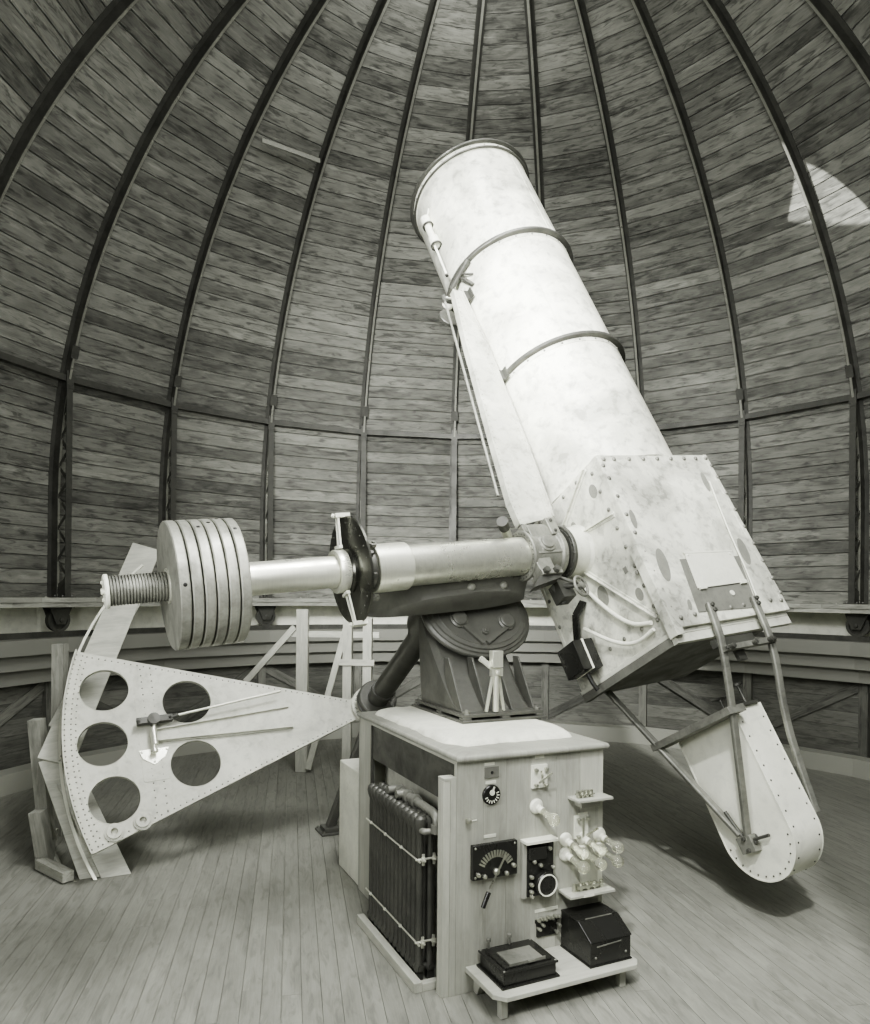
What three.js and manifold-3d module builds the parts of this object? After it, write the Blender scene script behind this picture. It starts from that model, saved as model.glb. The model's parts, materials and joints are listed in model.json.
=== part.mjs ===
// A timber-lined observatory dome of 24 bays on a low drum, with its reflecting telescope.
// Millimetres, +Z up, the origin on the dome's axis at ground level.
// An angle round the building is measured in degrees from -Y towards +X.

import * as THREE from 'three';
import { mergeVertices } from 'three/addons/utils/BufferGeometryUtils.js';
import Module from 'manifold-3d';

const wasm = await Module();
wasm.setup();

const deg = THREE.MathUtils.degToRad;
const toDegrees = THREE.MathUtils.radToDeg;

// Driving dimensions of the building
const GAP = 0.3;
const BAYS = 24;
const BAY = 360 / BAYS;
const DOME_TURN = -4.635;
const FLOOR_TOP = 200;
const RIB_R = 4600;
const SHELL_R = 4700;
const SHELL_OUT = 4760;
const SILL_IN = 4440;
const SILL_Z = 1850;
const SILL_TOP = 1940;
const ARC_Z = 2892;
const ARC_STEPS = 8;
const PURLIN_Z = 4038;
const POST_R = 4455;
const DRUM_IN = 4700;
const DRUM_OUT = 4840;
const CURB_TOP = 1560;
const CURB_PLATE_Z = 1430;
const TRACK_TOP = 1615;
const TRACK_R = 4600;
const WHEEL_R = 108;
const TRUCKS = 12;
const SLIT_HALF = 850;
const SLIT_BACK = 900;
const ARCH_W = 60;
const ARCH_IN = 4500;
const ARCH_OUT = 4860;
const SHUTTER_R = 4900;
const SHUTTER_W = 880;
const DOOR_BAY = 2;
const DOOR_W = 800;

// Driving dimensions of the telescope
const NORTH = 25;
const LATITUDE = 33;
const HOUR = 7;
const DECLINATION = 4.8;
const AXES = new THREE.Vector3(-238, -781, 2200);
const POLAR_LEN = 1928;
const POLAR_R = 80;
const DECLINATION_R = 85;
const SECTOR_R = 2151;
const SECTOR_HALF = 19.2;
const SECTOR_TURN = -2.6;
const SECTOR_LOW = -2005;
const TUBE_X = 1234;
const TUBE_R = 475;
const FLANGE_R = 499;
const TUBE_TOP = 3356;
const TUBE_JOINTS = [1371, 2375];
const BOX_HALF = 468;
const BOX_LOW = -759;
const BOX_TOP = 383;
const PIER_X = -84;
const PIER_Y = -122;
const PIER_W = 812;
const PIER_D = 1330;
const PIER_TOP = 1247;
const CAP_TOP = 1278;
const SLAB_TOP = 1310;
const BOARD_T = 28;
const RADIATOR_BAY = 130;

function finish(color, roughness, metalness) {
  return new THREE.MeshStandardMaterial({ color, roughness, metalness });
}

const TIMBER = finish(0x7c7b6d, 0.8, 0);
const BOARD = finish(0x6e6d60, 0.85, 0);
const PALE_TIMBER = finish(0xb9b6a2, 0.75, 0);
const SHEET = finish(0xb4b5ab, 0.5, 0.3);
const IRON = finish(0x4b4c48, 0.55, 0.6);
const DARK_CAST = finish(0x33342f, 0.5, 0.4);
const STEEL = finish(0xbfc0b8, 0.3, 0.9);
const PALE_PAINT = finish(0xe3e4d8, 0.5, 0.1);
const CONCRETE = finish(0xa9a99c, 0.9, 0);
const BLACK = finish(0x1d1e1c, 0.4, 0.1);

// Joins and cuts of closed meshes
function solidOf(geometry) {
  const bare = geometry.clone();
  bare.deleteAttribute('normal');
  bare.deleteAttribute('uv');
  const merged = mergeVertices(bare, 1e-3);
  const vertProperties = new Float32Array(merged.attributes.position.array);
  const triVerts = new Uint32Array(merged.index.array);
  return new wasm.Manifold(new wasm.Mesh({ numProp: 3, vertProperties, triVerts }));
}

function geometryOf(solid) {
  const mesh = solid.getMesh();
  const geometry = new THREE.BufferGeometry();
  geometry.setAttribute('position', new THREE.BufferAttribute(mesh.vertProperties, 3));
  geometry.setIndex(new THREE.BufferAttribute(mesh.triVerts, 1));
  return geometry;
}

function join(...geometries) {
  const solids = geometries.map(solidOf);
  return geometryOf(solids.reduce((all, next) => all.add(next)));
}

function cut(geometry, ...tools) {
  const start = solidOf(geometry);
  return geometryOf(tools.map(solidOf).reduce((left, tool) => left.subtract(tool), start));
}

function common(geometry, other) {
  return geometryOf(solidOf(geometry).intersect(solidOf(other)));
}

// Plain shapes
function block(x0, x1, y0, y1, z0, z1) {
  const box = new THREE.BoxGeometry(x1 - x0, y1 - y0, z1 - z0);
  return box.translate((x0 + x1) / 2, (y0 + y1) / 2, (z0 + z1) / 2);
}

// A polygon of [x, y] points, extruded from z0 to z1
function prism(points, z0, z1, holes = []) {
  const vectors = (list) => list.map(([x, y]) => new THREE.Vector2(x, y));
  const shape = new THREE.Shape(vectors(points));
  shape.holes = holes.map((hole) => new THREE.Path(vectors(hole)));
  const solid = new THREE.ExtrudeGeometry(shape, { depth: z1 - z0, bevelEnabled: false });
  return solid.translate(0, 0, z0);
}

// A polygon of [distance to the front, height] points, standing in a plane x = constant
function upright(points, x0, x1, holes = []) {
  return prism(points, -x1, -x0, holes).rotateX(Math.PI / 2).rotateZ(-Math.PI / 2);
}

// A closed profile of [radius, height] points, turned round Z
function turned(points, segments, start = 0) {
  const profile = points.map(([r, z]) => new THREE.Vector2(r, z));
  profile.push(profile[0].clone());
  return new THREE.LatheGeometry(profile, segments, start).rotateX(Math.PI / 2);
}

function ringOfBays(points) {
  return turned(points, BAYS, deg(BAY / 2));
}

// A rod or disc along Z
function rod(radius, z0, z1, sides = 24) {
  const cylinder = new THREE.CylinderGeometry(radius, radius, z1 - z0, sides);
  return cylinder.rotateX(Math.PI / 2).translate(0, 0, (z0 + z1) / 2);
}

function alongX(geometry) {
  return geometry.rotateY(Math.PI / 2);
}

function alongY(geometry) {
  return geometry.rotateX(-Math.PI / 2);
}

// Points of an arc, angles in degrees from the first axis
function arc(radius, from, to, steps, cx = 0, cy = 0) {
  return Array.from({ length: steps + 1 }, (_, i) => {
    const turn = deg(from + ((to - from) * i) / steps);
    return [cx + radius * Math.cos(turn), cy + radius * Math.sin(turn)];
  });
}

function circle(x, y, radius, sides) {
  return arc(radius, 0, 360 * (1 - 1 / sides), sides - 1, x, y);
}

// A straight bar between two points
function bar(from, to, width, depth = width) {
  const start = new THREE.Vector3(...from);
  const end = new THREE.Vector3(...to);
  const along = end.clone().sub(start);
  const up = new THREE.Vector3(0, 0, 1);
  const turn = new THREE.Quaternion().setFromUnitVectors(up, along.clone().normalize());
  const middle = start.add(end).multiplyScalar(0.5);
  const solid = new THREE.BoxGeometry(width, depth, along.length()).applyQuaternion(turn);
  return solid.translate(middle.x, middle.y, middle.z);
}

// The wedge of the building between two angles, with half the gap left at each side
function wedge(from, to) {
  const reach = 9000;
  const steps = Math.ceil((to - from) / 40);
  const points = [[0, 0]];
  for (let i = 0; i <= steps; i += 1) {
    const turn = deg(from + ((to - from) * i) / steps);
    points.push([reach * Math.sin(turn), -reach * Math.cos(turn)]);
  }
  const middle = deg((from + to) / 2);
  const clear = GAP / 2 / Math.sin(deg(Math.min(90, (to - from) / 2)));
  return prism(points, -100, reach).translate(clear * Math.sin(middle), -clear * Math.cos(middle), 0);
}

const observatory = new THREE.Group();
const drum = new THREE.Group();
const dome = new THREE.Group();
const mount = new THREE.Group();
const polar = new THREE.Group();
const tube = new THREE.Group();
observatory.add(drum, dome, mount, polar);
polar.add(tube);

function piece(parent, name, geometry, material) {
  const mesh = new THREE.Mesh(geometry, material);
  mesh.name = name;
  parent.add(mesh);
}

// The drum and the dome share the turn of the bays
drum.rotation.z = deg(DOME_TURN);
dome.rotation.z = deg(DOME_TURN);

// The pier and pedestal stand in the meridian: -Y of this group is north
mount.rotation.z = deg(NORTH);
mount.position.set(AXES.x, AXES.y, 0);

// The polar body: X along the declination axis to the tube, Z up the polar axis
function setPolarFrame() {
  const east = new THREE.Vector3(Math.cos(deg(NORTH)), Math.sin(deg(NORTH)), 0);
  const north = new THREE.Vector3(Math.sin(deg(NORTH)), -Math.cos(deg(NORTH)), 0);
  const up = new THREE.Vector3(0, 0, 1);
  const pole = north.clone().multiplyScalar(Math.cos(deg(LATITUDE))).addScaledVector(up, Math.sin(deg(LATITUDE)));
  const meridian = new THREE.Vector3().crossVectors(pole, east);
  const x = east.multiplyScalar(Math.cos(deg(HOUR))).addScaledVector(meridian, Math.sin(deg(HOUR)));
  const y = new THREE.Vector3().crossVectors(pole, x);
  polar.quaternion.setFromRotationMatrix(new THREE.Matrix4().makeBasis(x, y, pole));
  polar.position.copy(AXES);
  tube.position.set(TUBE_X, 0, 0);
  tube.rotation.x = deg(DECLINATION);
}

// The pier's own faces, with a clearance round it: the cabinet's boards stand outside them
function pierSides(clear) {
  const west = PIER_X - PIER_W / 2 + RADIATOR_BAY;
  const east = PIER_X + PIER_W / 2 - BOARD_T - 1;
  const reach = PIER_D / 2 - BOARD_T - 1 + clear;
  return [west - clear, east + clear, PIER_Y - reach, PIER_Y + reach];
}

// Fixed building: floor, drum, door, curb and track
function doorway(extra, bottom, top) {
  const half = DOOR_W / 2 + extra;
  return block(-half, half, -5200, -4300, bottom, top).rotateZ(deg(DOOR_BAY * BAY));
}

function makeFloor() {
  const edge = DRUM_IN - GAP;
  const disc = ringOfBays([[0, 0], [edge, 0], [edge, FLOOR_TOP], [0, FLOOR_TOP]]);
  const [x0, x1, y0, y1] = pierSides(10);
  const well = block(x0, x1, y0, y1, -50, FLOOR_TOP + 50);
  well.rotateZ(deg(NORTH)).translate(AXES.x, AXES.y, 0).rotateZ(deg(-DOME_TURN));
  piece(drum, 'floor', cut(disc, well), PALE_TIMBER);
}

function makeDrum() {
  const top = CURB_PLATE_Z - GAP;
  const ring = ringOfBays([[DRUM_IN, 0], [DRUM_OUT, 0], [DRUM_OUT, top], [DRUM_IN, top]]);
  const opening = doorway(0, FLOOR_TOP, 1600);
  const door = DOOR_BAY * BAY;
  const edges = [door, 112.5, 202.5, 292.5, 360 + door];
  edges.slice(1).forEach((to, i) => {
    piece(drum, `drum_wall_${i + 1}`, cut(common(ring, wedge(edges[i], to)), opening), BOARD);
  });
}

function makeDoor() {
  const y = -(DRUM_IN + 60) * Math.cos(deg(BAY / 2));
  const half = DOOR_W / 2 - GAP;
  const leaf = block(-half, half, y - 20, y + 20, FLOOR_TOP + 6, CURB_PLATE_Z - 10);
  const ledges = [320, 760, 1200].map((z) => block(-half + 30, half - 30, y + 15, y + 45, z, z + 110));
  piece(drum, 'door', join(leaf, ...ledges).rotateZ(deg(DOOR_BAY * BAY)), BOARD);
}

function makeCurb() {
  const outer = DRUM_IN - GAP;
  const steps = [
    [4600, 1140], [outer, 1140], [outer, CURB_PLATE_Z], [DRUM_OUT, CURB_PLATE_Z],
    [DRUM_OUT, CURB_TOP], [SILL_IN, CURB_TOP], [SILL_IN, 1420], [4520, 1420], [4520, 1280], [4600, 1280],
  ];
  const ring = cut(ringOfBays(steps), doorway(60, 1000, CURB_PLATE_Z));
  piece(drum, 'curb_front', common(ring, wedge(-97.5, 82.5)), TIMBER);
  piece(drum, 'curb_back', common(ring, wedge(82.5, 262.5)), TIMBER);
}

function makeTrack() {
  const track = [
    [TRACK_R - 25, CURB_TOP + GAP], [TRACK_R + 25, CURB_TOP + GAP], [TRACK_R + 25, TRACK_TOP], [TRACK_R - 25, TRACK_TOP],
  ];
  piece(drum, 'track_ring', turned(track, 2 * BAYS, deg(BAY / 2)), IRON);
  const low = FLOOR_TOP + GAP;
  const outer = DRUM_IN - GAP;
  const beam = ringOfBays([[4500, low], [outer, low], [outer, 380], [4500, 380]]);
  piece(drum, 'base_beam', cut(beam, doorway(40, 0, 1000)), PALE_TIMBER);
}

// Dome: the sill ring on its wheel trucks, and the skirt
function truck() {
  const axleZ = TRACK_TOP + GAP + WHEEL_R;
  const cheek = [[-110, SILL_Z + 20], [-45, axleZ - 45], [45, axleZ - 45], [110, SILL_Z + 20]];
  const cheeks = [-52, 52].map((side) => prism(cheek, -8, 8).rotateX(Math.PI / 2).translate(0, side, 0));
  const wheel = rod(WHEEL_R, -30, 30, 12).rotateX(Math.PI / 2).translate(0, 0, axleZ);
  const axle = rod(20, -56, 56, 6).rotateX(Math.PI / 2).translate(0, 0, axleZ);
  return join(...cheeks, wheel, axle).translate(0, -TRACK_R, 0);
}

function makeSill() {
  const ring = ringOfBays([[SILL_IN, SILL_Z], [SHELL_OUT, SILL_Z], [SHELL_OUT, SILL_TOP], [SILL_IN, SILL_TOP]]);
  const trucks = Array.from({ length: TRUCKS }, (_, i) => truck().rotateZ(deg(BAY / 2 + (i * 360) / TRUCKS)));
  piece(dome, 'sill_ring', join(ring, ...trucks), TIMBER);
  const lip = SHELL_OUT + 1;
  const skirt = [[lip, 1870], [4900, 1870], [4900, 1450], [4920, 1450], [4920, 1890], [lip, 1890]];
  piece(dome, 'skirt', ringOfBays(skirt), PALE_PAINT);
}

// The meridian curve: upright below the arc's centre, then round to the crown
function meridian(radius) {
  return [[radius, SILL_TOP + GAP], ...arc(radius, 0, 90, ARC_STEPS, 0, ARC_Z)];
}

function meridianBand(inner, outer, half) {
  return upright([...meridian(outer), ...meridian(inner).reverse()], -half, half);
}

function slitBox() {
  const half = SLIT_HALF + ARCH_W + GAP;
  return block(-half, half, -6000, SLIT_BACK + ARCH_W + GAP, 1500, 9000);
}

// Five panels and five rib frames, by their first and last bay edge or rib
const PANELS = [[0.5, 4.5], [4.5, 9.5], [9.5, 14.5], [14.5, 19.5], [19.5, 23.5]];
const RIB_GROUPS = [[1.5, 4.5], [5.5, 9.5], [10.5, 13.5], [14.5, 18.5], [19.5, 22.5]];

function makeShell() {
  const profile = [...meridian(SHELL_OUT), ...meridian(SHELL_R).reverse()];
  profile.forEach((point) => { point[0] = Math.max(0, Math.round(point[0] * 1e3) / 1e3); });
  const open = cut(ringOfBays(profile), slitBox());
  PANELS.forEach(([from, to], i) => {
    piece(dome, `shell_panel_${i + 1}`, common(open, wedge(from * BAY, to * BAY)), SHEET);
  });
}

// One rib in the plane x = 0 at the front: T-shaped arch, inner post and lacing
function rib() {
  const web = meridianBand(RIB_R + 6, SHELL_R - 1.5, 7);
  const flange = meridianBand(RIB_R - 6, RIB_R + 8, 32);
  const post = block(-32, 32, -POST_R - 8, -POST_R + 6, SILL_TOP + GAP, PURLIN_Z + 40);
  const lacing = [600, 1200].map((up) => {
    return bar([0, -POST_R, SILL_TOP + up], [0, -RIB_R - 4, SILL_TOP + up + 150], 10, 28);
  });
  const gusset = upright([
    [POST_R - 4, PURLIN_Z - 260], [POST_R + 110, PURLIN_Z - 260],
    [POST_R + 40, PURLIN_Z + 60], [POST_R - 4, PURLIN_Z + 60],
  ], -6, 6);
  return join(web, flange, post, ...lacing, gusset);
}

function makeRibs() {
  const one = rib();
  const near = POST_R + 16;
  const purlin = ringOfBays([
    [near, PURLIN_Z - 30], [near + 70, PURLIN_Z - 30], [near + 70, PURLIN_Z - 22],
    [near + 8, PURLIN_Z - 22], [near + 8, PURLIN_Z + 30], [near, PURLIN_Z + 30],
  ]);
  RIB_GROUPS.forEach(([first, last], i) => {
    const ribs = [];
    for (let at = first; at <= last; at += 1) {
      ribs.push(one.clone().rotateZ(deg(at * BAY)));
    }
    const from = i === 0 ? 0 : first * BAY - 0.05;
    const to = (last + 1) * BAY - 0.15;
    const frame = join(common(purlin, wedge(from, to)), ...ribs);
    piece(dome, `rib_frame_${i + 1}`, cut(frame, slitBox()), IRON);
  });
}

// A band of the slit's arches and shutters, from the sill over the crown to backY
function overCrown(inner, outer, low, backY) {
  const end = (r) => 90 + toDegrees(Math.asin(backY / r));
  const over = arc(outer, 0, end(outer), ARC_STEPS + 2, 0, ARC_Z);
  const under = arc(inner, end(inner), 0, ARC_STEPS + 2, 0, ARC_Z);
  return [[outer, low], ...over, ...under, [inner, low]];
}

function makeSlit() {
  const band = overCrown(ARCH_IN, ARCH_OUT, SILL_TOP + GAP, SLIT_BACK);
  piece(dome, 'slit_arch_right', upright(band, SLIT_HALF, SLIT_HALF + ARCH_W), TIMBER);
  piece(dome, 'slit_arch_left', upright(band, -SLIT_HALF - ARCH_W, -SLIT_HALF), TIMBER);
  const heightAt = (r) => ARC_Z + Math.sqrt(r * r - SLIT_BACK * SLIT_BACK);
  const half = SLIT_HALF + ARCH_W;
  const y = SLIT_BACK + GAP;
  const lintel = block(-half, half, y, y + ARCH_W - GAP, heightAt(ARCH_IN), heightAt(ARCH_OUT));
  piece(dome, 'slit_lintel', lintel, TIMBER);
}

// The open shutters stand proud at each side of the slit, on a front and a crown track
function makeShutters() {
  const low = SILL_TOP + 60;
  const plate = overCrown(SHUTTER_R, SHUTTER_R + 30, low, SLIT_BACK + 150);
  const near = SLIT_HALF + ARCH_W + 20;
  piece(dome, 'shutter_right', upright(plate, near, near + SHUTTER_W), SHEET);
  piece(dome, 'shutter_left', upright(plate, -near - SHUTTER_W, -near), SHEET);
  const reach = near + SHUTTER_W + 20;
  const front = block(-reach, reach, -SHUTTER_R - 30, -ARCH_OUT - GAP, SILL_TOP, low - GAP);
  const knees = [-1, 1].map((side) => bar(
    [side * (reach - 60), -SHUTTER_R + 20, low - 34], [side * (reach - 260), -4510, low - 34], 60, 40,
  ));
  piece(dome, 'shutter_track_front', join(front, ...knees), IRON);
  const backY = SLIT_BACK + 60;
  const top = ARC_Z + Math.sqrt(SHUTTER_R ** 2 - (backY + 90) ** 2) - GAP;
  const rail = block(-reach, reach, backY + 30, backY + 90, top - 50, top);
  const skinAt = (x, y) => ARC_Z + Math.sqrt(SHELL_OUT ** 2 - x * x - y * y);
  const postX = [-reach + 60, -SLIT_HALF, SLIT_HALF, reach - 60];
  const posts = postX.map((x) => {
    return block(x - 30, x + 30, backY + 30, backY + 90, skinAt(Math.abs(x) - 30, backY + 30) + GAP, top - 20);
  });
  piece(dome, 'shutter_track_crown', join(rail, ...posts), IRON);
}

// Pier, cabinet and pedestal
function makePier() {
  const x0 = PIER_X - PIER_W / 2;
  const x1 = PIER_X + PIER_W / 2;
  const y0 = PIER_Y - PIER_D / 2;
  const y1 = PIER_Y + PIER_D / 2;
  piece(mount, 'pier', block(...pierSides(0), 0, PIER_TOP), CONCRETE);
  const low = FLOOR_TOP + GAP;
  const front = block(x0, x1, y0, y0 + BOARD_T, low, PIER_TOP);
  const right = block(x1 - BOARD_T, x1, y0, y1, low, PIER_TOP);
  const back = block(x0, x1, y1 - BOARD_T, y1, low, PIER_TOP);
  const post = block(x0, x0 + RADIATOR_BAY - 2, y1 - 110, y1, low, PIER_TOP);
  const corner = block(x0 - 65, x0 + 1, y0, y0 + 60, low, 1180);
  const hood = block(x0, x0 + 14, y0, y0 + 1110, 1040, PIER_TOP);
  piece(mount, 'cabinet', join(front, right, back, post, corner, hood), PALE_TIMBER);
  const cap = block(x0 - 12, x1 + 14, y0 - 30, y1 + 10, PIER_TOP + GAP, CAP_TOP);
  piece(mount, 'cabinet_cap', cap, PALE_TIMBER);
  const slab = block(x0 + 50, x1, y0 + 150, y1 - 20, CAP_TOP + GAP, SLAB_TOP);
  piece(mount, 'pier_slab', slab, CONCRETE);
  const pipeCount = 13;
  const pitch = 53;
  const headerY = [y0 + 187, y0 + 187 + pitch * (pipeCount - 1)];
  const columnX = [x0 - 95, x0 - 40];
  const pipes = columnX.flatMap((x) => Array.from({ length: pipeCount }, (_, i) => {
    return rod(19, 260, 940, 8).translate(x, headerY[0] + i * pitch, 0);
  }));
  const headers = [240, 920].map((z) => {
    return block(columnX[0] - 24, columnX[1] + 24, headerY[0] - 24, headerY[1] + 24, z, z + 50);
  });
  const feet = headerY.map((y) => block(columnX[0], columnX[1], y - 20, y + 20, low, 260));
  piece(mount, 'radiator', join(...pipes, ...headers, ...feet), IRON);
  const shelfY = y0 - GAP;
  const lowShelf = block(x0 + 50, x0 + 812, shelfY - 300, shelfY, 298, 320);
  const brackets = [x0 + 110, x0 + 740].map((x) => block(x - 17, x + 17, shelfY - 250, shelfY, FLOOR_TOP + GAP, 300));
  piece(mount, 'low_shelf', join(lowShelf, ...brackets), PALE_TIMBER);
  piece(mount, 'relay_box_left', block(x0 + 106, x0 + 387, shelfY - 245, shelfY - 10, 320 + GAP, 405), BLACK);
  piece(mount, 'relay_box_right', block(x0 + 560, x0 + 790, shelfY - 245, shelfY - 10, 320 + GAP, 490), BLACK);
  const rheostat = block(x0 + 71, x0 + 303, shelfY - 40, shelfY, 712, 868);
  piece(mount, 'rheostat', rheostat, BLACK);
  const meter = block(x0 + 336, x0 + 507, shelfY - 60, shelfY, 590, 846);
  piece(mount, 'meter', meter, BLACK);
}

// Polar axis in the meridian: a point at a distance down from the crossing of the axes
function downPolar(distance) {
  return [distance * Math.cos(deg(LATITUDE)), AXES.z - distance * Math.sin(deg(LATITUDE))];
}

// The radius of a many-sided bore whose flats clear a shaft
function boreFor(radius, sides) {
  return (radius + GAP) / Math.cos(Math.PI / sides);
}

// A shape made along Z is laid along the polar axis of the mount
function onPolar(geometry) {
  return geometry.rotateX(deg(90 - LATITUDE)).translate(0, 0, AXES.z);
}

function makePedestal() {
  const baseZ = SLAB_TOP + GAP;
  const plate = block(-180, 345, -240, 440, baseZ, baseZ + 45);
  const [headY, headZ] = downPolar(330);
  const column = upright([
    [150, baseZ + 40], [-400, baseZ + 40], [-headY - 60, headZ - 120], [-headY + 160, headZ - 160],
  ], -120, 280);
  const ribs = [-60, 80, 220].map((x) => upright([
    [180, baseZ + 40], [-430, baseZ + 40], [-headY - 100, headZ - 150], [-headY + 200, headZ - 190],
  ], x - 14, x + 14));
  const head = onPolar(rod(305, -390, -300, 32).translate(90, -60, 0));
  const barrel = onPolar(rod(140, -760, -300, 20));
  const bore = onPolar(rod(boreFor(POLAR_R, 20), -900, -200, 20));
  piece(mount, 'pedestal', cut(join(plate, column, ...ribs, head, barrel), bore), DARK_CAST);
  const [lowY, lowZ] = downPolar(POLAR_LEN - 110);
  const collar = onPolar(rod(150, -POLAR_LEN + 30, -POLAR_LEN + 120, 20));
  const shaftHole = onPolar(rod(boreFor(POLAR_R, 20), -POLAR_LEN - 100, -POLAR_LEN + 300, 20));
  const legs = [-1, 1].map((side) => {
    return bar([side * 330, lowY + 120, FLOOR_TOP + 20], [side * 60, lowY, lowZ - 110], 80, 80);
  });
  const feet = [-1, 1].map((side) => block(
    side * 330 - 90, side * 330 + 90, lowY + 20, lowY + 220, FLOOR_TOP + GAP, FLOOR_TOP + 40,
  ));
  piece(mount, 'lower_bearing_stand', cut(join(collar, ...legs, ...feet), shaftHole), DARK_CAST);
}

// The timber arc that guides the drive sector, on props from the floor
function makeGuide() {
  const low = -POLAR_LEN - 330;
  const arcBand = prism([
    ...arc(2450, 150, 214, 10), ...arc(2230, 214, 150, 10),
  ], low, low + 50);
  const flat = arcBand.applyQuaternion(polar.quaternion).translate(AXES.x, AXES.y, AXES.z);
  const trimmed = cut(flat, block(-6000, 6000, -6000, 6000, -3000, FLOOR_TOP + GAP));
  piece(observatory, 'guide_arc', trimmed, PALE_TIMBER);
}

// Polar body
function makePolar() {
  const end = SECTOR_LOW - 20;
  const shaft = rod(POLAR_R, end, -191, 20);
  const hourCircle = rod(125, end - 20, end, 32);
  piece(polar, 'polar_shaft', join(shaft, hourCircle), DARK_CAST);
  const boat = prism([
    [-640, -100], [-600, -190], [-250, -282], [250, -282], [395, -200], [403, -100],
  ], -120, 120).rotateX(Math.PI / 2);
  const seat = join(alongX(rod(116.5, -800, 800, 24)), alongX(rod(124.5, -800, -374, 24)));
  const socket = rod(80.3, -400, -190, 20);
  piece(polar, 'cradle', cut(boat, seat, socket), DARK_CAST);
  const sleeve = alongX(rod(116, -380, 400, 24));
  const collar = alongX(rod(124, -585, -375, 24));
  const bore = alongX(rod(boreFor(DECLINATION_R, 24), -900, 900, 24));
  piece(polar, 'declination_sleeve', cut(join(sleeve, collar), bore), STEEL);
  const housing = alongX(rod(178, 404, 600, 12));
  const lug = block(430, 570, -60, 200, -130, 130);
  piece(polar, 'declination_housing', cut(join(housing, lug), bore), DARK_CAST);
  makeSector();
}

// The riveted drive sector, flat across the polar axis on the end of the shaft
function makeSector() {
  const from = 180 - SECTOR_HALF;
  const to = 180 + SECTOR_HALF;
  const hub = [[-160, -85], [-60, -130], [120, -130], [120, 130], [-60, 130], [-160, 85]];
  const rows = [
    { distance: 1913, radius: 156, angles: [-11.7, 0, 11.7] },
    { distance: 1370, radius: 165, angles: [-9.7, 9.7] },
  ];
  const holes = rows.flatMap(({ distance, radius, angles }) => angles.map((angle) => {
    return circle(-distance * Math.cos(deg(angle)), distance * Math.sin(deg(angle)), radius, 16);
  }));
  holes.push(circle(0, 0, boreFor(POLAR_R, 20), 20));
  const plate = prism([...arc(SECTOR_R, from, to, 14), ...hub], SECTOR_LOW, SECTOR_LOW + 24, holes);
  const rim = prism([
    ...arc(SECTOR_R, from, to, 14), ...arc(SECTOR_R - 60, to, from, 14),
  ], SECTOR_LOW - 20, SECTOR_LOW + 60);
  piece(polar, 'drive_sector', join(plate, rim).rotateZ(deg(SECTOR_TURN)), PALE_PAINT);
}

// Tube body
function makeDeclination() {
  const toTube = (x) => x - TUBE_X;
  const seat = 83;
  const end = TUBE_X - BOX_HALF - GAP;
  const profile = [
    [0, -1962], [58, -1962], [58, -1932], [69, -1932], [69, -1678], [seat, -1678], [seat, -600],
    [DECLINATION_R, -600], [DECLINATION_R, 690], [190, 690], [190, end], [0, end],
  ];
  const shaft = alongX(turned(profile, 24)).translate(toTube(0), 0, 0);
  piece(tube, 'declination_shaft', shaft, STEEL);
  const wheel = cut(rod(285, -775, -745, 40), rod(seat + GAP, -900, -600, 24));
  piece(tube, 'declination_wheel', alongX(wheel).translate(toTube(0), 0, 0), DARK_CAST);
  const discs = 6;
  const pitch = 53;
  const first = -1674;
  const stack = [[seat + GAP, first]];
  for (let i = 0; i < discs; i += 1) {
    const x = first + i * pitch;
    stack.push([303, x], [303, x + pitch - 7], [291, x + pitch - 3.5]);
  }
  stack.pop();
  stack.push([seat + GAP, first + discs * pitch - 7]);
  piece(tube, 'counterweights', alongX(turned(stack, 24)).translate(toTube(0), 0, 0), IRON);
}

// Three lengths of tube, bolted flange to flange on the mirror box
function makeTube() {
  const inner = TUBE_R - 14;
  const joints = [BOX_TOP + GAP / 2, ...TUBE_JOINTS, TUBE_TOP + GAP / 2];
  ['tube_lower', 'tube_middle', 'tube_upper'].forEach((name, i) => {
    const low = joints[i] + GAP / 2;
    const high = joints[i + 1] - GAP / 2;
    const rim = i === 2 ? 60 : 12;
    const foot = i === 0 ? [[TUBE_R, low]] : [[FLANGE_R, low], [FLANGE_R, low + 12], [TUBE_R, low + 12]];
    const wall = [
      [inner, low], ...foot, [TUBE_R, high - rim], [FLANGE_R, high - rim], [FLANGE_R, high], [inner, high],
    ];
    piece(tube, name, alongY(turned(wall, 32)), PALE_PAINT);
  });
  const box = block(-BOX_HALF, BOX_HALF, BOX_LOW, BOX_TOP, -BOX_HALF, BOX_HALF);
  const well = alongY(rod(inner, BOX_LOW + 180, BOX_TOP + 100, 32));
  piece(tube, 'mirror_box', cut(box, well), PALE_PAINT);
  const beam = prism([[-520, 330], [-620, 330], [-555, 2700], [-510, 2700]], 60, 120);
  const reach = FLANGE_R - (FLANGE_R * (1 - Math.cos(deg(11.25))) * 60) / (FLANGE_R * Math.sin(deg(11.25)));
  const feet = TUBE_JOINTS.map((y) => block(-540, -reach - GAP, y - 30, y + 30, 60, 120));
  piece(tube, 'side_beam', join(beam, ...feet), PALE_PAINT);
}

// An outline of [z, y] points, extruded from x0 to x1
function sideways(points, x0, x1) {
  return prism(points.map(([z, y]) => [-z, y]), x0, x1).rotateY(Math.PI / 2);
}

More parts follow.
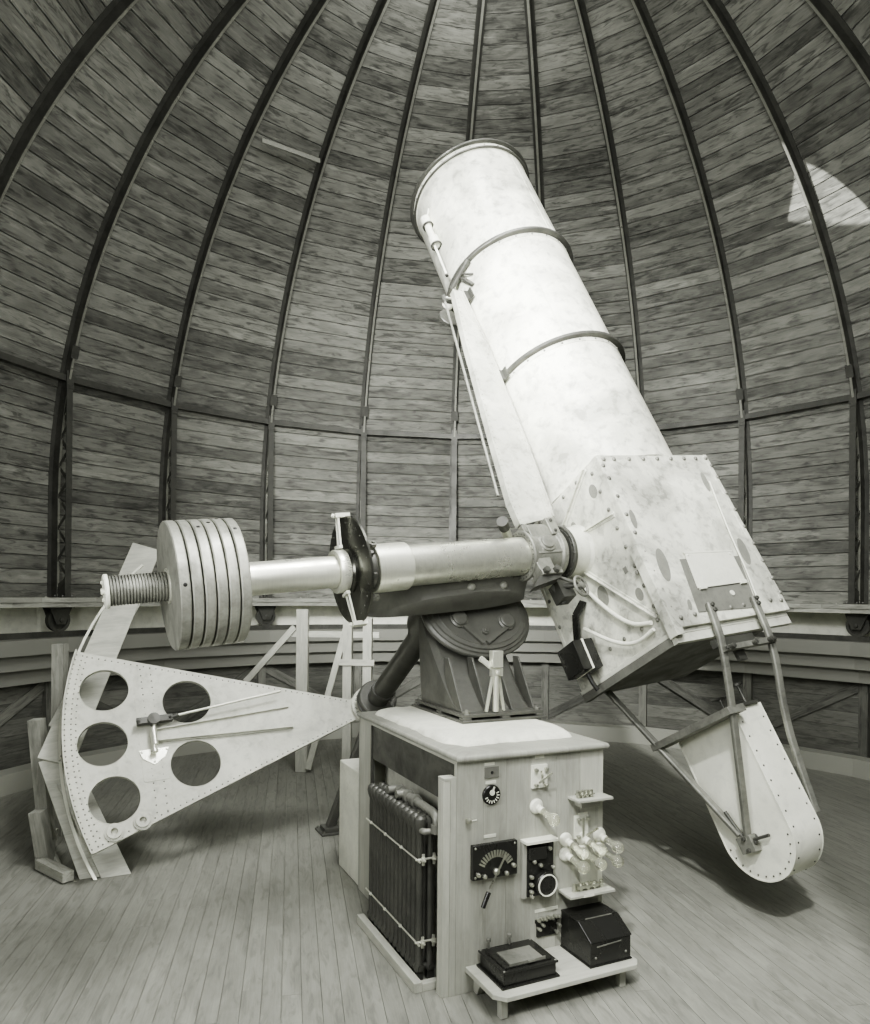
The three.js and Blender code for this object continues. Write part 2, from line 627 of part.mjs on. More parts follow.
// A flat case with a round end, between the legs of a frame below the mirror box
function makePlateHolder() {
  const low = BOX_LOW - GAP;
  const face = BOX_HALF + GAP + 26;
  const [caseX0, caseX1] = [-134, 100];
  const clamp = [caseX0 - GAP - 50, caseX0 - GAP];
  const beside = caseX0 - GAP - 25;
  const legs = [
    [[-301, low - 28, -440], [beside, -1839, -40]],
    [[-184, -655, face], [-238, -946, face], [beside, -1900, -12]],
    [[186, -655, face], [150, -962, face], [140, -1380, 330], [caseX1 + GAP + 23, -1850, 265]],
  ];
  const bars = legs.flatMap((points) => points.slice(1).map((end, i) => bar(points[i], end, 44)));
  const plate = block(-340, 340, low - 25, low, -BOX_HALF, 400);
  const tie = block(-262, clamp[1], -1255, -1205, -310, 362);
  const upperTie = block(-240, 170, -950, -910, face - 20, face + 20);
  const foot = block(...clamp, -1940, -1850, -60, 40);
  piece(tube, 'holder_frame', join(plate, ...bars, tie, upperTie, foot), IRON);
  const middle = 33;
  const half = 244;
  const centre = -1868;
  const outline = [
    [middle + half, -1212], [middle - half, -1212], ...arc(half, 180, 360, 12, middle, centre),
  ];
  piece(tube, 'holder_case', sideways(outline, caseX0, caseX1), PALE_PAINT);
}

setPolarFrame();
makeFloor();
makeDrum();
makeDoor();
makeCurb();
makeTrack();
makeSill();
makeShell();
makeRibs();
makeSlit();
makeShutters();
makePier();
makePedestal();
makeGuide();
makePolar();
makeDeclination();
makeTube();
makePlateHolder();

export default observatory;
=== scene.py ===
"""An observatory dome and its reflecting telescope, laid out as an add-on.

Each piece is a closed parametric surface: a profile carried along a path or a board between
corners, computed as whole arrays. Shapes are worked in millimetres in the frame of what they
belong to (building, meridian mount, polar body, tube) and end in metres in the CAD frame.
"""

import json
import math

import bmesh
import bpy
import numpy as np
from bpy.props import FloatProperty, PointerProperty
from mathutils import Matrix
from mathutils.geometry import delaunay_2d_cdt


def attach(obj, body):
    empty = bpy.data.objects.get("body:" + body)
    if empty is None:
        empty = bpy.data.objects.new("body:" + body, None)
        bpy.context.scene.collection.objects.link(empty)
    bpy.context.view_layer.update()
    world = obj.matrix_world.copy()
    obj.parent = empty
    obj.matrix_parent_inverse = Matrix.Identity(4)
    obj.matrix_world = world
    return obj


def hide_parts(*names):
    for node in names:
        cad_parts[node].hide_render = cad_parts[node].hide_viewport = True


bl_info = {
    "name": "Observatory dome",
    "version": (1, 0, 0),
    "blender": (4, 5, 0),
    "location": "View3D > Sidebar > Observatory",
    "description": "Builds the looks of an observatory dome and its telescope round the CAD frame",
    "category": "Object",
}

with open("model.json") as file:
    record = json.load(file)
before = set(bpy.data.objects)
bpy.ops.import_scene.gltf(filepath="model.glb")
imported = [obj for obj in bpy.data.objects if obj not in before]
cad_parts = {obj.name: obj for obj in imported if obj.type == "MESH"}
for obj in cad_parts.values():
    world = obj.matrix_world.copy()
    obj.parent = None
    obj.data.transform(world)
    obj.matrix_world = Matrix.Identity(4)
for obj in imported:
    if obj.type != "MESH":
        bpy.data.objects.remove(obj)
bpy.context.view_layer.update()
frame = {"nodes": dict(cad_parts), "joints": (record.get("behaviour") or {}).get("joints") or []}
rng = np.random.default_rng(5)
DONE = {"FINISHED"}

# Building, mm, as in the CAD
DOME_TURN = math.radians(-4.635)
BAYS = 24
BAY = math.radians(360 / BAYS)
RIB_R = 4600
SHELL_R = 4700
SHELL_OUT = 4760
SILL_Z = 1850
SILL_TOP = 1940
ARC_Z = 2892
WALL = ARC_Z - SILL_TOP
RIB_TURN = 1.53
PURLIN_Z = 4038
POST_R = 4455
SLIT_EDGE = 910
SLIT_END = 960
FLOOR_TOP = 200
STAND = FLOOR_TOP + 0.4
DRUM_TOP = 1424
DOOR_HALF = 398
WELL = (-370.0, 303.0, -768.0, 524.0)
BED_TOP = 1310.3

# Telescope, mm, in the tube's and the axes' frames
TUBE_X = 1234
TUBE_JOINTS = (383.0, 1371.0, 2375.0, 3356.0)
BOX_HALF = 468.0
BOX_LOW = -759.0
SECTOR_LEAN = -2.6
SECTOR_RIM = 2151.0
SECTOR_HALF = 19.2
FIRST_DISC = -1674
DISC_PITCH = 53.0

# Camera, m and radians, from the fit to the photograph
CAMERA_AT = (-0.455, -5.019, 2.0)
CAMERA_PITCH = 0.002
CAMERA_ROLL = 0.009
CAMERA_LENS = 25.951
CAMERA_SHIFT = 0.0793
CAMERA_NEAR = 0.8


# Frames: an origin, the axes as rows, and the body that rides in the frame

JOINTS = {joint["name"]: joint for joint in frame["joints"]}
CROSSING = np.array(JOINTS["polar_turn"]["pos_m"]) * 1000
POLE = np.array(JOINTS["polar_turn"]["axis"], float)
POLE /= np.linalg.norm(POLE)
EAST = np.array(JOINTS["declination_turn"]["axis"], float)
EAST /= np.linalg.norm(EAST)
X, Y, Z = np.eye(3)
LATITUDE = math.asin(POLE[2])
DECLINATION = math.radians(4.8)
POLAR_Y = np.cross(POLE, EAST)
TUBE_Y = POLAR_Y * math.cos(DECLINATION) + POLE * math.sin(DECLINATION)


def turn_z(angle):
    """Rotation about Z as rows of axes."""
    c, s = math.cos(angle), math.sin(angle)
    return np.array([[c, s, 0], [-s, c, 0], [0, 0, 1]])


DOME = (np.zeros(3), turn_z(DOME_TURN), "dome")
BUILDING = (*DOME[:2], "building")
DOOR = (np.zeros(3), turn_z(DOME_TURN + 2 * BAY), "building")
MOUNT = (np.array([CROSSING[0], CROSSING[1], 0]), turn_z(math.atan2(POLE[0], -POLE[1])), "building")
POLAR = (CROSSING, np.array([EAST, POLAR_Y, POLE]), "polar_axis")
GUIDE = (*POLAR[:2], "building")
TUBE = (CROSSING + TUBE_X * EAST, np.array([EAST, TUBE_Y, np.cross(EAST, TUBE_Y)]), "telescope")
AXLE = (CROSSING, TUBE[1], "telescope")
WORLD = (np.zeros(3), np.eye(3), "building")

# Axes that lay a flat outline down: x across and y up, or y along and z up
UPRIGHT_X = [[1, 0, 0], [0, 0, 1], [0, -1, 0]]
UPRIGHT_Y = [[0, 1, 0], [0, 0, 1], [1, 0, 0]]


# Small array helpers

def cols(*parts):
    """Columns side by side; a single number is repeated to the length of the arrays."""
    parts = [np.asarray(part, float) for part in parts]
    rows = max(len(part) for part in parts if part.ndim)
    return np.column_stack([part if part.ndim else np.full(rows, part) for part in parts])


def turns(count):
    """Angles of equal steps round a whole turn."""
    return np.linspace(0, 2 * np.pi, count, endpoint=False)


def degrees(start, end, count):
    """Angles of equal steps between two given in degrees."""
    return np.radians(np.linspace(start, end, count))


def rays(angle):
    """Unit directions (n, 3) at angles in the plane z = 0."""
    return cols(np.cos(angle), np.sin(angle), 0)


def unit(vectors):
    """Vectors at length one."""
    vectors = np.asarray(vectors, float)
    return vectors / np.linalg.norm(vectors, axis=-1, keepdims=True)


# Shapes: a dict of points, faces (arrays of equal corners), grain coordinates and board tone

def shape(points, faces, grain=None, tone=0.5):
    """A shape of points (n, 3), a list of face arrays, grain coordinates (n, 3) and a tone."""
    points = np.asarray(points, float).reshape(-1, 3)
    grain = points.copy() if grain is None else np.asarray(grain, float).reshape(-1, 3)
    return {"v": points, "f": faces, "g": grain, "t": np.broadcast_to(tone, len(points)).astype(float)}


def merge(*shapes):
    """Several shapes as one, their faces renumbered."""
    starts = np.cumsum([0] + [len(s["v"]) for s in shapes])
    made = {key: np.concatenate([s[key] for s in shapes]) for key in "vgt"}
    return {**made, "f": [f + start for s, start in zip(shapes, starts) for f in s["f"]]}


def moved(s, offset=(0, 0, 0), axes=None):
    """A shape put at an offset, its own x, y and z laid along the rows of axes."""
    points = s["v"] if axes is None else s["v"] @ np.asarray(axes, float)
    return {**s, "v": points + np.asarray(offset, float)}


def repeated(s, offsets, axes=None):
    """One shape at many offsets (n, 3), each with its own axes (n, 3, 3) if given."""
    offsets = np.asarray(offsets, float).reshape(-1, 3)
    count, size = len(offsets), len(s["v"])
    if axes is None:
        points = s["v"][None] + offsets[:, None]
    else:
        points = np.einsum("vi,nij->nvj", s["v"], np.asarray(axes, float)) + offsets[:, None]
    starts = np.arange(count)[:, None, None] * size
    faces = [(f[None] + starts).reshape(-1, f.shape[1]) for f in s["f"]]
    grain = s["g"][None] + rng.uniform(-900, 900, (count, 1, 3))
    return shape(points, faces, grain, np.repeat(rng.uniform(0, 1, count), size))


BITS = np.array(list(np.ndindex(2, 2, 2)), float)
BOX_FACES = np.array([[0, 2, 3, 1], [4, 5, 7, 6], [0, 1, 5, 4], [2, 6, 7, 3], [0, 4, 6, 2], [1, 3, 7, 5]])


def hexes(corners):
    """Closed bodies of eight corners each, (n, 8, 3), numbered as the bits x, y, z of BOX_FACES.
    Grain runs along each body's longest edge, and each has a tone of its own."""
    corners = np.asarray(corners, float).reshape(-1, 8, 3)
    count = len(corners)
    edges = np.linalg.norm(corners[:, [4, 2, 1]] - corners[:, :1], axis=2)
    order = np.argsort(-edges, axis=1)
    local = np.take_along_axis(BITS[None] * edges[:, None], np.repeat(order[:, None], 8, axis=1), axis=2)
    local = local + rng.uniform(-900, 900, (count, 1, 3)) * np.array([4, 4, 1])
    faces = (BOX_FACES[None] + 8 * np.arange(count)[:, None, None]).reshape(-1, 4)
    return shape(corners, [faces], local, np.repeat(rng.uniform(0, 1, count), 8))


def blocks(lows, highs):
    """Boxes between low and high corners, each (n, 3): corner i takes high where its bit is set."""
    lows, highs = np.broadcast_arrays(np.atleast_2d(lows).astype(float), np.atleast_2d(highs))
    return hexes(lows[:, None] + BITS[None] * (highs - lows)[:, None])


def box(x0, x1, y0, y1, z0, z1):
    """One box between two numbers on each axis."""
    return blocks([x0, y0, z0], [x1, y1, z1])


def bars(starts, ends, width, depth, up=Z):
    """Straight bars from start to end points (n, 3), width across up and depth along it."""
    starts, ends = np.atleast_2d(np.asarray(starts, float)), np.atleast_2d(np.asarray(ends, float))
    along = unit(ends - starts)
    side = unit(np.cross(along, np.broadcast_to(np.asarray(up, float), along.shape)))
    rise = np.cross(side, along)
    corners = []
    for end, across, over in np.ndindex(2, 2, 2):
        base = ends if end else starts
        corners.append(base + side * (width / 2) * (2 * across - 1) + rise * (depth / 2) * (2 * over - 1))
    return hexes(np.stack(corners, axis=1))


def skin(rings, closed_along=False):
    """A surface over a grid of rings (m, k, 3): ring i joins ring i + 1, and open ends are capped."""
    rings = np.asarray(rings, float)
    m, k = rings.shape[:2]
    index = np.arange(m * k).reshape(m, k)
    here, after = (index, np.roll(index, -1, axis=0)) if closed_along else (index[:-1], index[1:])
    quads = np.stack([here, np.roll(here, -1, axis=1), np.roll(after, -1, axis=1), after], axis=-1)
    faces = [quads.reshape(-1, 4)]
    if not closed_along:
        faces += [index[:1, ::-1], index[-1:]]
    steps = np.linalg.norm(np.diff(rings.mean(axis=1), axis=0), axis=1)
    along = np.concatenate([[0], np.cumsum(steps)])[:, None]
    girth = np.linalg.norm(rings[0] - np.roll(rings[0], 1, axis=0), axis=1).sum()
    grain = np.stack(np.broadcast_arrays(along, np.linspace(0, 1, k) * girth, 0.0 * along), axis=-1)
    offset = rng.uniform(-900, 900, 3)
    return shape(rings, faces, grain.reshape(-1, 3) + offset, rng.uniform(0, 1))


def sweep(path, profile, side, closed_along=False):
    """A closed profile of [across, out] points carried along a path: each ring is the path's
    point plus across times side plus out times the cross product of the path's direction and side."""
    path, profile = np.asarray(path, float), np.asarray(profile, float)
    if closed_along:
        along = unit(np.roll(path, -1, axis=0) - np.roll(path, 1, axis=0))
    else:
        along = unit(np.gradient(path, axis=0))
    side = np.broadcast_to(np.asarray(side, float), along.shape)
    side = unit(side - along * np.sum(side * along, axis=1, keepdims=True))
    out = np.cross(along, side)
    rings = path[:, None] + profile[None, :, :1] * side[:, None] + profile[None, :, 1:] * out[:, None]
    return skin(rings, closed_along)


def strip(across, out):
    """A rectangle's section for a sweep, from its half widths."""
    return [[-across, -out], [across, -out], [across, out], [-across, out]]


def softened(points):
    """A path with its corners cut twice: each gives way to points at a quarter and three quarters
    of its legs."""
    points = np.asarray(points, float)
    for _ in range(2 if len(points) > 2 else 0):
        a, b = points[:-1], points[1:]
        cut = np.stack([0.75 * a + 0.25 * b, 0.25 * a + 0.75 * b], axis=1).reshape(-1, 3)
        points = np.concatenate([points[:1], cut[1:-1], points[-1:]])
    return points


def circle(radius, sides):
    """Points of a circle: radius times cosine and sine."""
    return radius * rays(turns(sides))[:, :2]


def pipe(points, radius, sides=12):
    """A round rod along points, rounded at its bends."""
    points = softened(points)
    return sweep(points, circle(radius, sides), np.eye(3)[np.argmin(np.abs(points[-1] - points[0]))])


def rod(a, b, radius, sides=16):
    """A plain round rod between two points."""
    return pipe([a, b], radius, sides)


def revolve(profile, sides, start=0.0, axis=2):
    """A closed profile of [radius, height] points turned round an axis: x = r cos t, y = r sin t.
    A profile that starts and ends at radius zero closes itself at the poles."""
    profile = np.asarray(profile, float)
    turn = start + turns(sides)
    r, h = profile[:, :1], profile[:, 1:]
    rings = np.stack(np.broadcast_arrays(r * np.cos(turn), r * np.sin(turn), h), axis=-1)
    index = np.arange(len(profile) * sides).reshape(len(profile), sides)
    after, across = np.roll(index, -1, axis=0), np.roll(index, -1, axis=1)
    quads = np.stack([index, across, np.roll(after, -1, axis=1), after], axis=-1)
    on_axis = (profile[:, 0] < 1e-6) & (np.roll(profile[:, 0], -1) < 1e-6)
    grain = np.stack(np.broadcast_arrays(h, r * turn, r), axis=-1)
    made = shape(rings, [quads[~on_axis].reshape(-1, 4)], grain)
    made["v"] = np.roll(made["v"], axis + 1, axis=1)
    return made


def turned(profile, sides, at, axis=2):
    """A turned piece at a point."""
    return moved(revolve(profile, sides, axis=axis), at)


def ring(inner, outer, low, high, sides, axis=2):
    """A plain ring between two radii and two heights."""
    return revolve([[inner, low], [outer, low], [outer, high], [inner, high]], sides, axis=axis)


def disc(radius, low, high, sides, at, axis=2):
    """A plain turned disc at a point."""
    return moved(ring(0, radius, low, high, sides, axis), at)


def normals_to_axes(normals):
    """Axes (n, 3, 3) whose third row is the normal: the first two are any pair across it."""
    normals = unit(np.asarray(normals, float).reshape(-1, 3))
    helper = np.where(np.abs(normals[:, 2:3]) < 0.9, [Z], [X])
    first = unit(np.cross(helper, normals))
    return np.stack([first, np.cross(normals, first), normals], axis=1)


HEADS = {"rivet": [[1, 0], [0.94, 0.4], [0.6, 0.85], [0, 1]], "bolt": [[1, 0], [1, 0.8], [0.85, 1], [0, 1]],
    "nut": [[1, 0], [1, 0.55], [0.9, 0.6], [0.52, 0.6], [0.52, 0.95], [0.4, 1], [0, 1]]}


def studs(points, normals, radius, height, kind=8):
    """Heads at points (n, 3) standing along normals: a low domed rivet with a number of sides, a
    hexagon bolt, or a nut with its threaded end."""
    points = np.asarray(points, float).reshape(-1, 3)
    normals = np.broadcast_to(np.asarray(normals, float), points.shape)
    sides, head = (6, HEADS[kind]) if kind in HEADS else (kind, HEADS["rivet"])
    profile = np.array([[0, 0], *head]) * [radius, height]
    profile[:2, 1] = -2
    return repeated(revolve(profile, sides), points, normals_to_axes(normals))


def inside(points, loop):
    """Which points lie in a closed loop, by the even-odd rule over all its edges at once."""
    a, b = loop, np.roll(loop, -1, axis=0)
    x, y = points[:, :1], points[:, 1:]
    spans = (a[:, 1] > y) != (b[:, 1] > y)
    rise = np.where(b[:, 1] == a[:, 1], 1e-12, b[:, 1] - a[:, 1])
    cross = x < (b[:, 0] - a[:, 0]) * (y - a[:, 1]) / rise + a[:, 0]
    return (spans & cross).sum(axis=1) % 2 == 1


def plate(outline, thickness, holes=(), axes=None, offset=(0, 0, 0)):
    """A flat plate from an outline of [x, y] points, z from 0 to its thickness, holes cut through.
    The outline and its holes are filled as one face set by a constrained triangulation."""
    loops = [np.asarray(loop, float) for loop in [outline, *holes]]
    points = [tuple(p) for loop in loops for p in loop]
    starts = np.cumsum([0] + [len(loop) for loop in loops])
    edges = [(int(s + i), int(s + (i + 1) % len(loop))) for s, loop in zip(starts, loops)
        for i in range(len(loop))]
    flat, _, tris, *_ = delaunay_2d_cdt(points, edges, [], 0, 1e-4)
    flat, tris = np.array([p[:] for p in flat]), np.array(tris, int)
    centres = flat[tris].mean(axis=1)
    keep = inside(centres, loops[0])
    for hole in loops[1:]:
        keep &= ~inside(centres, hole)
    tris, count = tris[keep], len(flat)
    points = np.concatenate([cols(flat, 0), cols(flat, thickness)])
    sides = np.array([[a, b, b + count, a + count] for a, b in edges])
    made = shape(points, [tris[:, ::-1], tris + count, sides], None, rng.uniform(0, 1))
    return moved(made, offset, axes)


def arc(radius, start, end, steps, centre=(0, 0)):
    """Points of an arc, angles in degrees from x."""
    return radius * rays(degrees(start, end, steps + 1))[:, :2] + centre


# Pieces

def add(name, parts, place, finish, replaces=(), smooth=None, bevel=0.0, weld=0.0):
    """Shapes become one mesh object: points into the frame in metres, grain and tone as
    attributes, faces turned outwards, with its finish and the frame's body."""
    made = parts if isinstance(parts, dict) else merge(*parts)
    origin, axes, body = place
    material, own_slot = FINISH[finish]
    points = (made["v"] @ axes + origin) / 1000
    loops = np.concatenate([f.ravel() for f in made["f"]])
    totals = np.concatenate([np.full(len(f), f.shape[1]) for f in made["f"]])
    mesh = bpy.data.meshes.new(name)
    mesh.vertices.add(len(points))
    mesh.vertices.foreach_set("co", points.ravel())
    mesh.loops.add(len(loops))
    mesh.loops.foreach_set("vertex_index", loops)
    mesh.polygons.add(len(totals))
    mesh.polygons.foreach_set("loop_start", np.concatenate([[0], np.cumsum(totals)[:-1]]))
    mesh.polygons.foreach_set("loop_total", totals)
    mesh.update(calc_edges=True)
    mesh.attributes.new("grain", "FLOAT_VECTOR", "POINT").data.foreach_set("vector",
        made["g"].ravel() / 1000)
    mesh.attributes.new("tone", "FLOAT", "POINT").data.foreach_set("value", made["t"])
    work = bmesh.new()
    work.from_mesh(mesh)
    if weld:
        bmesh.ops.remove_doubles(work, verts=work.verts, dist=weld)
    bmesh.ops.recalc_face_normals(work, faces=work.faces)
    work.to_mesh(mesh)
    work.free()
    mesh.polygons.foreach_set("use_smooth", np.full(len(mesh.polygons), bool(smooth)))
    if smooth:
        mesh.set_sharp_from_angle(angle=math.radians(smooth))
    mesh.materials.append(material)
    piece = bpy.data.objects.new(name, mesh)
    bpy.context.scene.collection.objects.link(piece)
    if bevel:
        soften = piece.modifiers.new("Bevel", "BEVEL")
        soften.width = bevel / 1000
        soften.segments = 2
        soften.limit_method = "ANGLE"
        soften.angle_limit = math.radians(40)
    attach(piece, body)
    if replaces:
        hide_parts(*replaces)
    return piece


# Materials

def tint(value):
    """A grey of the photograph's warm green cast, from its brightness."""
    return (0.985 * value, value, 0.86 * value, 1.0)


class Finish:
    """A material's node tree, with short calls for its nodes; colours come from greys."""

    def __init__(self, name):
        self.material = bpy.data.materials.new(name)
        self.material.use_nodes = True
        self.tree = self.material.node_tree
        self.shader = self.tree.nodes["Principled BSDF"]

    def set(self, socket, value):
        """Links a node's output to a socket, or sets its value."""
        if isinstance(value, bpy.types.NodeSocket):
            self.tree.links.new(value, socket)
        elif socket.type == "RGBA" and not hasattr(value, "__len__"):
            socket.default_value = tint(value)
        else:
            socket.default_value = value

    def node(self, kind, inputs, **settings):
        """A node with its settings, and its inputs by name or number."""
        made = self.tree.nodes.new(kind)
        for key, value in settings.items():
            setattr(made, key, value)
        for key, value in inputs.items():
            self.set(made.inputs[key], value)
        return made.outputs

    def place(self):
        return self.node("ShaderNodeTexCoord", {})["Object"]

    def attribute(self, name, output="Vector"):
        return self.node("ShaderNodeAttribute", {}, attribute_name=name)[output]

    def noise(self, vector, scale, detail=4.0, roughness=0.55, distortion=0.0):
        values = {"Vector": vector, "Scale": scale, "Detail": detail, "Roughness": roughness,
            "Distortion": distortion}
        return self.node("ShaderNodeTexNoise", values)["Fac"]

    def streaks(self, vector, stretch, *rest, offset=(0, 0, 0)):
        """Noise on a vector stretched along the grain."""
        values = {"Vector": vector, "Scale": stretch, "Location": offset}
        return self.noise(self.node("ShaderNodeMapping", values)["Vector"], 1.0, *rest)

    def span(self, value, low, high, to_low=0.0, to_high=1.0):
        values = {"Value": value, "From Min": low, "From Max": high, "To Min": to_low, "To Max": to_high}
        return self.node("ShaderNodeMapRange", values, clamp=True)["Result"]

    def calc(self, operation, *values, clamp=False):
        return self.node("ShaderNodeMath", dict(enumerate(values)), operation=operation,
            use_clamp=clamp)["Value"]

    def mix(self, share, a, b):
        values = {"Factor": share, "A": a, "B": b}
        return self.node("ShaderNodeMix", values, data_type="RGBA")["Result"]

    def bump(self, height, strength, distance):
        values = {"Height": height, "Strength": strength, "Distance": distance}
        self.set(self.shader.inputs["Normal"], self.node("ShaderNodeBump", values)["Normal"])

    def done(self, colour, roughness=0.6, metallic=0.0, specular=0.5):
        values = {"Base Color": colour, "Roughness": roughness, "Metallic": metallic,
            "Specular IOR Level": specular}
        for key, value in values.items():
            self.set(self.shader.inputs[key], value)
        return self.material


def wood(name, dark, light, stain=0.0, grain=0.5, blotch=0.4, tone=0.4, roughness=0.7, patches=0.0):
    """Boards: long grain, a tone for each board, soft blotches, dark stains and pale saw patches."""
    f = Finish(name)
    along = f.attribute("grain")
    fine = f.streaks(along, (5, 160, 160), 5, 0.6, 0.6)
    broad = f.streaks(along, (1.6, 30, 30), 4, 0.6, 1.2)
    cloud = f.streaks(along, (3.4, 9, 9), 5, 0.65, 0.8)
    value = f.calc("ADD", f.span(fine, 0.3, 0.7, -grain / 2, grain / 2),
        f.span(broad, 0.3, 0.7, -grain / 2, grain / 2))
    value = f.calc("ADD", value, f.span(cloud, 0.32, 0.68, -blotch, blotch))
    value = f.calc("ADD", value, f.span(f.attribute("tone", "Fac"), 0, 1, -tone, tone))
    value = f.calc("MULTIPLY_ADD", value, 0.5, 0.5)
    colour = f.mix(f.span(value, 0, 1), dark, light)
    if stain:
        flame = f.streaks(along, (4.5, 24, 24), 6, 0.6, 1.0)
        colour = f.mix(f.span(flame, 0.5, 0.64, 0, stain), colour, dark * 0.4)
    if patches:
        saw = f.streaks(along, (2.2, 20, 20), 5, 0.7, 0.5, offset=(3, 7, 1))
        colour = f.mix(f.span(saw, 0.58, 0.72, 0, patches), colour, light * 1.5)
    f.bump(fine, 0.25, 0.0015)
    return f.done(colour, f.span(cloud, 0.3, 0.7, roughness - 0.08, roughness + 0.1), 0.0, 0.3)


def painted(name, light, dark, roughness=0.45, grime=0.5, scale=1.0):
    """Paint over metal: cloudy fading, runs of grime, rubbed dark specks and a soft ripple."""
    f = Finish(name)
    at = f.place()
    cloud = f.noise(at, 1.8 * scale, 6, 0.62, 0.6)
    fine = f.noise(at, 14 * scale, 5, 0.6, 0.4)
    specks = f.noise(at, 55 * scale, 3, 0.6)
    share = f.calc("ADD", f.span(cloud, 0.42, 0.66, 0, grime), f.span(fine, 0.5, 0.68, 0, grime * 0.6),
        clamp=True)
    colour = f.mix(share, light, dark)
    colour = f.mix(f.span(specks, 0.66, 0.74, 0, 0.55 * grime), colour, dark * 0.35)
    f.bump(fine, 0.12, 0.003)
    return f.done(colour, f.span(fine, 0.3, 0.7, roughness - 0.08, roughness + 0.12), 0.0, 0.4)


def metal(name, light, dark, roughness=0.35, metallic=1.0, wear=0.5, rings=0.0):
    """Bare or painted metal: clouds of oxide, and where turned, fine rings along its axis."""
    f = Finish(name)
    at = f.place()
    cloud = f.noise(at, 5, 6, 0.65, 0.5)
    fine = f.noise(at, 60, 4, 0.6)
    share = f.calc("ADD", f.span(cloud, 0.4, 0.65, 0, wear), f.span(fine, 0.5, 0.7, 0, 0.3 * wear),
        clamp=True)
    colour = f.mix(share, light, dark)
    rough = f.span(cloud, 0.35, 0.65, roughness - 0.06, roughness + 0.14)
    if rings:
        dot = f.node("ShaderNodeVectorMath", {0: at, 1: tuple(EAST)}, operation="DOT_PRODUCT")["Value"]
        lathe = f.noise(f.node("ShaderNodeCombineXYZ", {"X": dot})["Vector"], 90.0, 2)
        f.bump(lathe, rings, 0.0006)
        colour = f.mix(f.span(lathe, 0.45, 0.65, 0, 0.2), colour, dark)
    else:
        f.bump(fine, 0.15, 0.002)
    return f.done(colour, rough, metallic, 0.5)


def stony(name, light, dark):
    """Concrete: broad stains, sand grain and a chalky face."""
    f = Finish(name)
    at = f.place()
    cloud = f.noise(at, 2.2, 6, 0.65, 0.7)
    sand = f.noise(at, 70, 5, 0.7)
    colour = f.mix(f.span(cloud, 0.38, 0.66), light, dark)
    colour = f.mix(f.span(sand, 0.55, 0.7, 0, 0.35), colour, dark * 0.6)
    f.bump(sand, 0.4, 0.004)
    return f.done(colour, 0.92, 0.0, 0.2)


def glass(name):
    """Thin clear glass of a lamp bulb."""
    f = Finish(name)
    f.shader.inputs["Transmission Weight"].default_value = 0.9
    f.shader.inputs["IOR"].default_value = 1.3
    f.bump(f.noise(f.place(), 30, 2), 0.05, 0.001)
    return f.done(0.95, 0.05, 0.0, 0.6)


FINISH = {}


